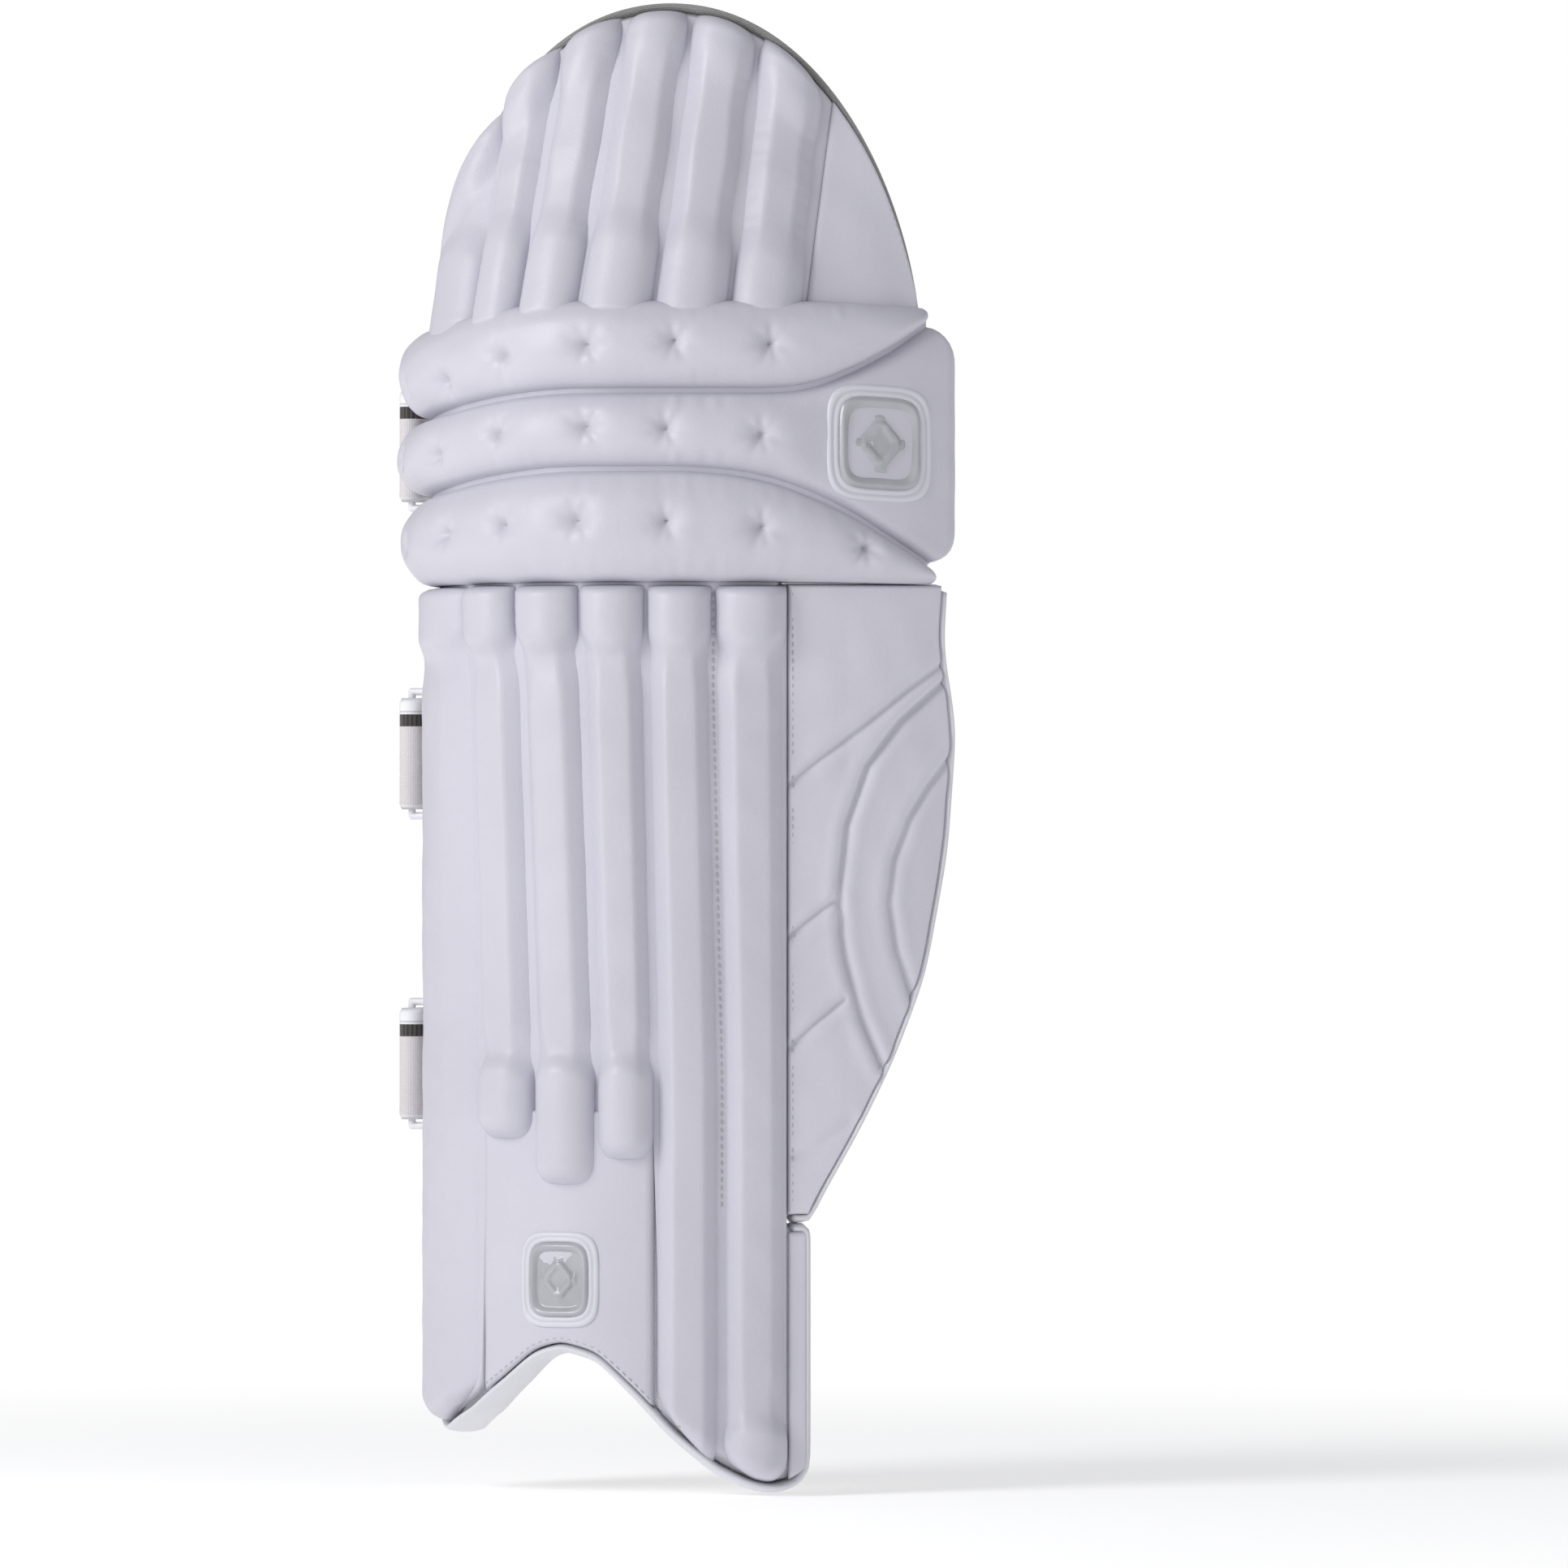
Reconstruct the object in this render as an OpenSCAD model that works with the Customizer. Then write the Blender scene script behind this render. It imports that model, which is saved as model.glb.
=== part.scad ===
// Cricket leg pad for one leg: padded shin, knee and top hat sections, a side wing,
// inner bolsters, three straps and three rings. Millimetres, Z up, front towards -Y.

/* [Overall] */
// Height of the shin section from the floor to the knee rolls
shin_height = 444; // [370:1:532]
// Height of the three knee rolls together
knee_height = 138; // [120:1:160]
// Height of the top hat above the knee rolls
hat_height = 146; // [122:1:175]
// Radius of the front of the shell, outside the backing
front_radius = 105; // [92:1:126]
// Radius of the flatter outside part of the shell
side_radius = 240; // [205:1:288]
// Angle at which the top hat leans back
lean = 17; // [8:1:20]

/* [Shell] */
// Angle of the inside edge of the shell, left of the front
edge_angle = 66; // [58:1:70]
// Angle of the seam between the shin rolls and the side wing
seam_angle = 37.3; // [35:0.1:40]
// Angle of the outside edge of the wing
wing_angle = 57; // [54:1:60]
// Thickness of the foam backing
backing_thick = 12; // [10:0.5:14.4]
// Thickness of the lining
lining_thick = 4.5; // [3.5:0.1:5.4]
// Width of the binding round the edges
binding_width = 5; // [4:0.5:6]

/* [Rolls] */
// Height of the shin rolls above the backing
roll_rise = 11; // [9:0.5:13.2]
// Extra height of the bulb at the top of each shin roll
bulb_rise = 3; // [2:0.5:4]
// Height of the knee rolls above the backing
knee_rise = 21; // [17.5:0.5:24]
// Height of the side panels and gusset above the backing
panel_rise = 4; // [3:0.5:5]
// Radius of the cane rods inside the rolls
cane_radius = 2.5; // [2:0.1:3]

/* [Straps] */
// Width of the straps
strap_width = 55; // [46:1:60]
// Thickness of the strap webbing
strap_thick = 2.2; // [1.8:0.1:2.6]
// Distance between the two long bars of a ring
ring_gap = 18; // [15:1:20]
// Radius of the ring bars
bar_radius = 1.8; // [1.5:0.1:2.1]
// Angle covered by the loose end of each strap
tail_angle = 82; // [68:1:86]

/* [Hidden] */
$fn = 96;
gap = 0.3;
deg = 180 / PI;
// The shell section is two arcs that meet at this angle.
meet = 20;
// Direction the outlines are drawn from, turned from the front towards the wing.
look = 25;
shift = side_radius - front_radius;
side_x = -shift * sin(meet);
side_y = shift * cos(meet);
meet_s = front_radius * meet / deg;
knee_base = shin_height;
hat_base = shin_height + knee_height;
lining_in = -backing_thick - gap;
inner_in = lining_in - lining_thick;

// Angle on the shell at a distance s round its outer face from the front.
function angle_at(s) = s < meet_s ? s / front_radius * deg : meet + (s - meet_s) / side_radius * deg;
function on_side(a) = a > meet;
function point_x(a, h) = on_side(a) ? side_x + (side_radius + h) * sin(a) : (front_radius + h) * sin(a);
function point_y(a, h) = on_side(a) ? side_y - (side_radius + h) * cos(a) : -(front_radius + h) * cos(a);
// Sideways position of a shell point as seen from the outline direction.
function across(a, h) = point_x(a, h) * cos(look) + point_y(a, h) * sin(look);
// Centre of the circle whose lens on a face of radius r is h high and 2 b degrees wide.
function lens_centre(r, h, b) = (2 * r * h + h * h) / (2 * (h + r * (1 - cos(b))));

module arc_part(r0, r1, a0, a1, z0, z1) {
    rotate([0, 0, a0 - 90])
        rotate_extrude(angle = a1 - a0)
            translate([r0, z0])
                square([r1 - r0, z1 - z0]);
}

// Part of the shell between two heights above its face, two angles and two levels.
module band(h0, h1, a0, a1, z0, z1) {
    if (a0 < meet)
        arc_part(front_radius + h0, front_radius + h1, a0, min(a1, meet), z0, z1);
    if (a1 > meet)
        translate([side_x, side_y, 0])
            arc_part(side_radius + h0, side_radius + h1, max(a0, meet), a1, z0, z1);
}

// Stands a flat outline up and drives it through the pad along the outline direction.
module outline(points, back = 140, front = 260) {
    rotate([0, 0, look])
        rotate([90, 0, 0])
            translate([0, 0, -back])
                linear_extrude(back + front)
                    polygon(points);
}

// Stands a flat shape up, facing straight out of the shell at an angle and level.
module facing(a, z, far) {
    translate([on_side(a) ? side_x : 0, on_side(a) ? side_y : 0, z])
        rotate([0, 0, a])
            rotate([90, 0, 0])
                linear_extrude(far)
                    children();
}

module soft_square(w, h, r) {
    square([w - 2 * r, h], center = true);
    square([w, h - 2 * r], center = true);
    for (x = [-1, 1])
        for (y = [-1, 1])
            translate([x * (w / 2 - r), y * (h / 2 - r)])
                circle(r);
}

// One upright roll between two angles; round caps end it where asked.
module roll(a0, a1, rise, z0, z1, cap_top, cap_low, bore) {
    r = on_side((a0 + a1) / 2) ? side_radius : front_radius;
    b = (a1 - a0) / 2 - 0.25 / r * deg;
    c = lens_centre(r, rise, b);
    rho = r + rise - c;
    low = cap_low ? z0 + rho : z0;
    high = cap_top ? z1 - rho : z1;
    translate([on_side((a0 + a1) / 2) ? side_x : 0, on_side((a0 + a1) / 2) ? side_y : 0, 0])
        rotate([0, 0, (a0 + a1) / 2])
            difference() {
                union() {
                    translate([0, -c, low]) cylinder(r = rho, h = high - low);
                    if (cap_low) translate([0, -c, low]) sphere(rho);
                    if (cap_top) translate([0, -c, high]) sphere(rho);
                }
                translate([0, 0, z0 - 50]) cylinder(r = r + gap, h = z1 - z0 + 100, $fn = 360);
                if (bore > 0)
                    translate([0, -r - rise / 2, z0 + cane_low])
                        cylinder(r = cane_radius + gap, h = z1 - z0 - cane_low - cane_high);
            }
}
cane_low = 34;
cane_high = 28;

module cane(a0, a1, rise, z0, z1) {
    r = on_side((a0 + a1) / 2) ? side_radius : front_radius;
    translate([on_side((a0 + a1) / 2) ? side_x : 0, on_side((a0 + a1) / 2) ? side_y : 0, 0])
        rotate([0, 0, (a0 + a1) / 2])
            translate([0, -r - rise / 2, z0 + cane_low + gap])
                cylinder(r = cane_radius, h = z1 - z0 - cane_low - cane_high - 2 * gap);
}

// ---- bottom edge of the shin: arch over the boot, long outside tab ----
foot = [[-60, 33], [-51, 27], [-33, 38], [-19, 53], [-9, 66], [-1, 70],
    [9, 65], [20, 46], [24, 28], [29, 11], [33, 2], [36, 0], [38.5, 3], [40.6, 14], [41, 40]];
flange_angle = 40.5;
flange_top = 0.29 * shin_height;

module foot_space(lift) {
    outline(concat([for (p = foot) [across(p[0], 0), p[1] + lift]],
        [[across(41, 0) + 40, 40 + lift], [across(41, 0) + 40, shin_height + 30],
         [across(-80, 0) - 60, shin_height + 30], [across(-80, 0) - 60, 45 + lift]]));
}

// ---- shin ----
rolls = [[-edge_angle, -31], [-31, -12], [-12, 6], [6, 21.5], [21.5, 28.8], [28.8, seam_angle - 0.2]];
roll_low = [16, 0.39 * shin_height, 0.34 * shin_height, 0.367 * shin_height, 0, 8.5];
roll_cap = [false, true, true, true, false, true];
roll_top = shin_height - gap;
roll_end = roll_top - 6;
bulb_low = shin_height - 33;

module shin_roll(i) {
    color([0.86, 0.86, 0.90])
        intersection() {
            union() {
                roll(rolls[i][0], rolls[i][1], roll_rise, roll_low[i], roll_end, false, roll_cap[i], 1);
                roll(rolls[i][0] + 0.4, rolls[i][1] - 0.4, roll_rise + bulb_rise, bulb_low, roll_top,
                    false, false, 0);
            }
            if (i == 0 || i == 4)
                foot_space(binding_width + 1);
            else
                translate([-400, -400, 0]) cube([800, 800, shin_height]);
        }
}
module shin_roll_1() { shin_roll(0); }
module shin_roll_2() { shin_roll(1); }
module shin_roll_3() { shin_roll(2); }
module shin_roll_4() { shin_roll(3); }
module shin_roll_5() { shin_roll(4); }
module shin_roll_6() { shin_roll(5); }

module shin_canes() {
    color([0.78, 0.62, 0.36])
        for (i = [0:5])
            cane(rolls[i][0], rolls[i][1], roll_rise, roll_low[i], roll_end);
}

// Shin shell between two heights: full width to the seam, and the low flange beyond it.
module shin_shell(h0, h1, a0, lift) {
    intersection() {
        difference() {
            band(h0, h1, a0, flange_angle, -5, shin_height - gap);
            band(h0 - 5, h1 + 5, seam_angle - 0.15, flange_angle + 2, flange_top, shin_height + 5);
        }
        foot_space(lift);
    }
}

module shin_backing() {
    color([0.80, 0.80, 0.84]) shin_shell(-backing_thick, 0, -edge_angle, binding_width + gap);
}

module shin_lining() {
    color([0.93, 0.92, 0.88]) shin_shell(inner_in, lining_in, -edge_angle + 2, binding_width + gap);
}

module shin_binding() {
    color([0.84, 0.84, 0.86])
        difference() {
            shin_shell(inner_in, 1.5, -edge_angle, 0);
            foot_space(binding_width);
        }
}

module instep_panel() {
    color([0.90, 0.90, 0.93])
        intersection() {
            band(gap, panel_rise, -30.5, 21, 0, 0.335 * shin_height);
            foot_space(binding_width + 1);
        }
}

module badge_frame(a, z, h0, h1, w, h, rim) {
    color([0.86, 0.86, 0.89])
        intersection() {
            facing(a, z, 400)
                difference() {
                    soft_square(w, h, w / 5);
                    soft_square(w - 2 * rim, h - 2 * rim, w / 5 - rim / 2);
                }
            band(h0, h1, a - 25, a + 25, z - h, z + h);
        }
}

module badge_plate(a, z, h0, h1, w, h) {
    color([0.80, 0.81, 0.84, 0.8])
        intersection() {
            facing(a, z, 400) soft_square(w, h, 5);
            band(h0, h1, a - 25, a + 25, z - h, z + h);
        }
}
instep_z = 0.237 * shin_height;
module instep_badge_frame() { badge_frame(-1, instep_z, panel_rise + gap, panel_rise + 2.6, 40, 46, 4); }
module instep_badge() { badge_plate(-1, instep_z, panel_rise + gap, panel_rise + 2.4, 31, 37); }

// ---- soft bolsters against the leg ----
// Half-round cushion standing on the inside of the lining.
module bolster(a, b, rise, z0, z1) {
    r = (on_side(a) ? side_radius : front_radius) + inner_in - gap;
    c = r - rise + (rise * rise + b * b) / (2 * rise);
    rho = (rise * rise + b * b) / (2 * rise);
    translate([on_side(a) ? side_x : 0, on_side(a) ? side_y : 0, 0])
        rotate([0, 0, a])
            intersection() {
                union() {
                    translate([0, -c, z0 + rho]) cylinder(r = rho, h = z1 - z0 - 2 * rho);
                    translate([0, -c, z0 + rho]) sphere(rho);
                    translate([0, -c, z1 - rho]) sphere(rho);
                }
                translate([0, 0, z0 - 5]) cylinder(r = r, h = z1 - z0 + 10, $fn = 360);
            }
}
module inner_bolster() { color([0.95, 0.95, 0.96]) bolster(-46, 16, 15, 0.24 * shin_height, 0.96 * shin_height); }
module outer_bolster() { color([0.95, 0.95, 0.96]) bolster(27, 16, 15, 0.24 * shin_height, 0.96 * shin_height); }
module mesh_bolster() { color([0.90, 0.88, 0.90]) bolster(-13, 21, 16, 0.5 * shin_height, 0.965 * shin_height); }

// Flat cushion with square ends on the inside of the lining.
module cushion(h, a0, a1, z0, z1) {
    band(inner_in - gap - h, inner_in - gap, a0, a1, z0, z1);
}
module ankle_bolster() {
    color([0.92, 0.91, 0.88])
        intersection() {
            cushion(14, -29, 17.4, 0.31 * shin_height, 0.46 * shin_height);
            facing(-7, 0.31 * shin_height, 200)
                polygon([[-42, 0], [42, 0], [42, 12], [10, 65], [-10, 65], [-42, 12]]);
        }
}
module instep_bolster() { color([0.95, 0.95, 0.96]) cushion(12, -24, 14, 0.175 * shin_height, 0.3 * shin_height); }

// ---- straps and rings ----
calf_z = 0.813 * shin_height;
ankle_z = 0.468 * shin_height;
knee_z = knee_base + 0.5 * knee_height;
bar_x = -front_radius - 16;
bar_y = -0.286 * front_radius;
loop_r = 5;
anchor_h = inner_in - gap - strap_thick;
anchor_a = seam_angle - 1.5;
strap_end_h = anchor_h - gap - strap_thick / 2 - 0.4;
end_x = point_x(anchor_a, strap_end_h);
end_y = point_y(anchor_a, strap_end_h);
reach = end_x - (bar_x + loop_r);
strap_r = (reach * reach + pow(end_y - bar_y, 2)) / (2 * reach);
strap_cx = bar_x + loop_r + strap_r;
start_a = atan2(end_y - bar_y, end_x - strap_cx);
tail_off = (2 * loop_r - strap_thick - 1) / (1 - cos(85));
tail_r = strap_r + 2 * loop_r - tail_off;

module upright(x, y, a0, a1, r, t, w) {
    translate([x, y, -w / 2])
        rotate([0, 0, a0])
            rotate_extrude(angle = a1 - a0)
                translate([r - t / 2, 0])
                    square([t, w]);
}

module strap(z) {
    translate([0, 0, z]) {
        upright(strap_cx, bar_y, start_a, 180, strap_r, strap_thick, strap_width);
        upright(bar_x, bar_y, 180, 360, loop_r, strap_thick, strap_width);
    }
}

module tail(z) {
    translate([0, 0, z])
        upright(strap_cx - tail_off, bar_y, 179.7 - tail_angle, 179.7, tail_r, strap_thick, strap_width);
}

module ring(z) {
    tall = strap_width / 2 + 3.2;
    for (x = [bar_x, bar_x + ring_gap])
        translate([x, bar_y, z - tall]) cylinder(r = bar_radius, h = 2 * tall);
    for (s = [-1, 1]) {
        translate([bar_x, bar_y, z + s * tall])
            rotate([0, 90, 0]) cylinder(r = bar_radius, h = ring_gap);
        for (x = [bar_x, bar_x + ring_gap])
            translate([x, bar_y, z + s * tall]) sphere(bar_radius);
    }
}

tab_w = strap_width - 3;
tab_r = front_radius + inner_in - gap - 1.2;
tab_eye = bar_x + ring_gap;
tab_end = -sqrt(tab_r * tab_r - bar_y * bar_y);
tab_from = 180 + atan(bar_y / tab_end);
tab_to = 206.5;
module ring_tab(z) {
    color([0.90, 0.89, 0.90])
        translate([0, 0, z - tab_w / 2])
            linear_extrude(tab_w)
                difference() {
                    union() {
                        translate([tab_eye, bar_y]) circle(bar_radius + 2.4);
                        translate([tab_eye, bar_y - 1.1]) square([tab_end - tab_eye + 1.5, 2.2]);
                        intersection() {
                            difference() {
                                circle(tab_r + 1.1);
                                circle(tab_r - 1.1);
                            }
                            polygon([[0, 0], 160 * [cos(tab_from), sin(tab_from)],
                                160 * [cos(tab_to), sin(tab_to)]]);
                        }
                    }
                    translate([tab_eye, bar_y]) circle(bar_radius + 0.5);
                }
}
module calf_ring_tab() { ring_tab(calf_z); }
module ankle_ring_tab() { ring_tab(ankle_z); }
module knee_ring_tab() { ring_tab(knee_z); }

module strap_anchor(z) {
    color([0.16, 0.15, 0.15])
        band(anchor_h, inner_in - gap, seam_angle - 2.8, seam_angle - 0.4, z - strap_width / 2 - 1.5,
            z + strap_width / 2 + 1.5);
}
module calf_strap_anchor() { strap_anchor(calf_z); }
module ankle_strap_anchor() { strap_anchor(ankle_z); }
module knee_strap_anchor() { strap_anchor(knee_z); }

module calf_strap() { color([0.92, 0.90, 0.92]) strap(calf_z); }
module ankle_strap() { color([0.92, 0.90, 0.92]) strap(ankle_z); }
module knee_strap() { color([0.92, 0.90, 0.92]) strap(knee_z); }
module calf_strap_tail() { color([0.94, 0.93, 0.95]) tail(calf_z); }
module ankle_strap_tail() { color([0.94, 0.93, 0.95]) tail(ankle_z); }
module knee_strap_tail() { color([0.94, 0.93, 0.95]) tail(knee_z); }
module calf_ring() { color([0.90, 0.90, 0.92]) ring(calf_z); }
module ankle_ring() { color([0.90, 0.90, 0.92]) ring(ankle_z); }
module knee_ring() { color([0.90, 0.90, 0.92]) ring(knee_z); }

module calf_strap_patch() {
    color([0.74, 0.71, 0.71])
        translate([0, 0, calf_z])
            upright(strap_cx, bar_y, 28, 58, strap_r + strap_thick / 2 + gap + 0.9, 1.8, 0.75 * strap_width);
}

// ---- side wing ----
wing_start = seam_angle + 0.3;
wing_low = 0.3 * shin_height;
wing_edge = [[0, 1], [-0.9, 0.93], [1, 0.84], [0, 0.705], [-3, 0.57], [-7, 0.48], [-11, 0.408],
    [-17.5, 0.3]];

module wing_space(inset) {
    outline(concat([for (p = wing_edge) [across(wing_angle - inset + p[0], 0), p[1] * shin_height]],
        [[0, wing_low], [0, shin_height]]), 100, 300);
}
module wing_shell(h0, h1, a1, inset) {
    intersection() {
        band(h0, h1, wing_start, a1, wing_low + inset * 4, shin_height - gap);
        wing_space(inset);
    }
}
binding_deg = binding_width / side_radius * deg;
module side_wing() {
    color([0.85, 0.85, 0.89]) wing_shell(-backing_thick, panel_rise - 1.5, wing_angle + 3, binding_deg);
}
module wing_lining() {
    color([0.93, 0.92, 0.90]) wing_shell(inner_in, lining_in, wing_angle + 3, binding_deg);
}
module wing_binding() {
    color([0.80, 0.80, 0.80])
        difference() {
            intersection() {
                band(inner_in, panel_rise - 1, wing_start, wing_angle + 5, wing_low, shin_height - gap);
                wing_space(0);
            }
            wing_space(binding_deg * 0.94);
        }
}
module side_tab() {
    color([0.78, 0.76, 0.68])
        band(inner_in - gap - 2.4, inner_in - gap, wing_angle - 4, wing_angle + 2.6, 0.714 * shin_height,
            0.786 * shin_height);
}

// ---- knee ----
knee_edge = edge_angle + 1;
seam_top = knee_base + 0.674 * knee_height;
seam_low = knee_base + 0.399 * knee_height;
// Half height kept free in the knee cup for the strap.
strap_space = strap_width / 2 + 4.5;
top_cut_r = 135;
low_cut_r = 169;

// Part ring for a level roll; b is half its height, rise its height above the backing.
module level_roll(z0, z1, rise, a1) {
    b = (z1 - z0) / 2 - gap / 2;
    rho = (b * b + rise * rise) / (2 * rise);
    rotate([0, 0, -knee_edge - 90])
        rotate_extrude(angle = knee_edge + meet)
            roll_profile(front_radius, rho, rise, (z0 + z1) / 2, b);
    translate([side_x, side_y, 0])
        rotate([0, 0, meet - 90])
            rotate_extrude(angle = a1 - meet)
                roll_profile(side_radius, rho, rise, (z0 + z1) / 2, b);
}
module roll_profile(r, rho, rise, z, half) {
    intersection() {
        translate([r + rise - rho, z]) circle(rho);
        translate([r + gap, z - half]) square([60, 2 * half]);
    }
}
module across_cylinder(u, z, r) {
    rotate([0, 0, look])
        translate([u, 0, z])
            rotate([90, 0, 0])
                translate([0, 0, -150]) cylinder(r = r, h = 450, $fn = 360);
}
// Space of the top roll: above the curve that rises to the outside edge.
module top_space(r) {
    across_cylinder(0.381 * front_radius, seam_top + top_cut_r, r);
    rotate([0, 0, look]) translate([-300, -300, seam_top - 40]) cube([300 + 0.381 * front_radius, 600, 200]);
}
module low_space(r) {
    across_cylinder(0.19 * front_radius, seam_low - low_cut_r, r);
    rotate([0, 0, look]) translate([-300, -300, knee_base - 40]) cube([300 + 0.19 * front_radius, 600, 200]);
}

// Dimple places: angle and level on each of the three rolls.
tuft_a = [-54, -35, -16, 3, 27.6, 36.5, 44.5];
module tuft_at(a, z, rise) {
    translate([on_side(a) ? side_x : 0, on_side(a) ? side_y : 0, z])
        rotate([0, 0, a])
            translate([0, -(on_side(a) ? side_radius : front_radius) - rise, 0])
                children();
}
module dimples(z, rise, n) {
    for (i = [0:n - 1]) tuft_at(tuft_a[i], z, rise + 2) sphere(5);
}
module tufts(z, rise, n) {
    for (i = [0:n - 1])
        tuft_at(tuft_a[i], z, rise - 3 + gap) rotate([90, 0, 0]) cylinder(r = 1.4, h = 1.4);
}
mid_rise = knee_rise - 2;
top_z = (seam_top + hat_base) / 2;
mid_z = (seam_top + seam_low) / 2;
low_z = (knee_base + seam_low) / 2;

module knee_roll_top() {
    color([0.85, 0.85, 0.89])
        difference() {
            intersection() {
                level_roll(seam_top, hat_base, knee_rise, wing_angle - 6);
                top_space(top_cut_r - gap);
            }
            dimples(top_z, knee_rise, 6);
        }
}
module knee_roll_bottom() {
    color([0.85, 0.85, 0.89])
        difference() {
            intersection() {
                level_roll(knee_base + gap, seam_low, knee_rise, wing_angle - 3);
                low_space(low_cut_r - gap);
            }
            dimples(low_z, knee_rise, 6);
        }
}
gusset_rise = 12;
module knee_roll_middle() {
    color([0.85, 0.85, 0.89]) {
        difference() {
            level_roll(seam_low, seam_top, mid_rise, 38);
            dimples(mid_z, mid_rise, 5);
        }
        intersection() {
            band(gap, gusset_rise, 38, wing_angle, knee_base + 2, hat_base - 4);
            difference() {
                translate([0, -200, 0]) cube([300, 300, 700]);
                top_space(top_cut_r + gap);
                low_space(low_cut_r + gap);
            }
        }
    }
}
module knee_tufts() {
    color([0.62, 0.62, 0.66]) {
        tufts(top_z, knee_rise, 6);
        tufts(mid_z, mid_rise, 5);
        tufts(low_z, knee_rise, 6);
    }
}
module knee_backing() {
    color([0.80, 0.80, 0.84]) band(-backing_thick, 0, -knee_edge, wing_angle, knee_base + gap, hat_base - gap);
}
module knee_cup() {
    color([0.90, 0.88, 0.90])
        difference() {
            intersection() {
                band(inner_in - 8, lining_in, -knee_edge + 3, wing_angle - 2, knee_base + 4, hat_base - 4);
                outline([[across(-80, 0) - 20, knee_base + 30], [across(-40, 0), knee_base + 3],
                    [across(46, 0), knee_base + 3], [across(70, 0), knee_base + 42],
                    [across(70, 0), hat_base - 42], [across(46, 0), hat_base - 3],
                    [across(-40, 0), hat_base - 3], [across(-80, 0) - 20, hat_base - 30]]);
            }
            band(inner_in - 20, inner_in, -80, -knee_edge + 12, knee_z - strap_space, knee_z + strap_space);
            band(inner_in - 20, inner_in, seam_angle - 3.4, 70, knee_z - strap_space, knee_z + strap_space);
        }
}
knee_badge_a = 47.5;
module knee_badge_frame() {
    badge_frame(knee_badge_a, knee_z, gusset_rise + gap, gusset_rise + 2.6, 54, 58, 5);
}
module knee_badge() { badge_plate(knee_badge_a, knee_z, gusset_rise + gap, gusset_rise + 2.4, 41, 45); }

// ---- top hat ----
hat_span = hat_height / cos(lean) + 2;
dome_mid = 0.41 * front_radius;
dome_left = 1.352 * front_radius;
dome_right = 0.575 * side_radius;
function dome_s(t, inset) = dome_mid + (cos(t) > 0 ? dome_right - inset : dome_left - inset) * cos(t);
function dome_w(t, inset) = (hat_span - inset) * pow(sin(t), cos(t) > 0 ? 1.4 : 1.15);

module leaned() {
    intersection() {
        translate([0, -front_radius, hat_base])
            rotate([-lean, 0, 0])
                translate([0, front_radius, -hat_base])
                    children();
        translate([-300, -300, hat_base + gap]) cube([600, 600, 300]);
    }
}
module dome_space(inset) {
    outline(concat([for (t = [0:7.5:180]) [across(angle_at(dome_s(t, inset)), 0), hat_base + dome_w(t, inset)]],
        [[across(angle_at(dome_s(180, inset)), 0), hat_base - 60],
         [across(angle_at(dome_s(0, inset)), 0), hat_base - 60]]));
}
hat_a = [[-54.5, -28.5], [-28.5, -12.5], [-12.5, 5], [5, 21.8], [21.8, 30.5], [30.5, 39.2]];
hat_top = [0.66, 0.835, 0.945, 0.985, 0.98, 0.925];

module hat_roll(i) {
    color([0.85, 0.85, 0.89])
        leaned()
            intersection() {
                roll(hat_a[i][0], hat_a[i][1], roll_rise, hat_base - 60, hat_base + hat_top[i] * hat_span,
                    true, false, 1);
                dome_space(binding_width + 1);
            }
}
module hat_roll_1() { hat_roll(0); }
module hat_roll_2() { hat_roll(1); }
module hat_roll_3() { hat_roll(2); }
module hat_roll_4() { hat_roll(3); }
module hat_roll_5() { hat_roll(4); }
module hat_roll_6() { hat_roll(5); }
module hat_canes() {
    color([0.78, 0.62, 0.36])
        leaned()
            for (i = [0:5])
                cane(hat_a[i][0], hat_a[i][1], roll_rise, hat_base - 60, hat_base + hat_top[i] * hat_span);
}
module hat_backing() {
    color([0.80, 0.80, 0.84])
        leaned()
            intersection() {
                band(-backing_thick, 0, -edge_angle, 60, hat_base - 60, hat_base + 200);
                dome_space(binding_width + gap);
            }
}
module hat_lining() {
    color([0.94, 0.93, 0.88])
        leaned()
            intersection() {
                band(inner_in - 2, lining_in, -edge_angle, 60, hat_base - 60, hat_base + 200);
                dome_space(binding_width + gap);
            }
}
module hat_binding() {
    color([0.62, 0.62, 0.58])
        leaned()
            intersection() {
                band(inner_in - 2, 1.5, -edge_angle, 60, hat_base - 60, hat_base + 200);
                difference() {
                    dome_space(0);
                    dome_space(binding_width);
                }
            }
}
module hat_side_panel() {
    color([0.87, 0.87, 0.90])
        leaned()
            intersection() {
                band(gap, panel_rise, 39.5, 60, hat_base - 60, hat_base + 200);
                dome_space(binding_width + 1);
            }
}
module hat_badge() {
    color([0.80, 0.81, 0.84, 0.8])
        leaned()
            intersection() {
                facing(8, hat_base + 0.7 * hat_span, 400) soft_square(24, 32, 5);
                band(inner_in - 3.6, inner_in - 2 - gap, -10, 20, hat_base, hat_base + 200);
            }
}

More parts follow.
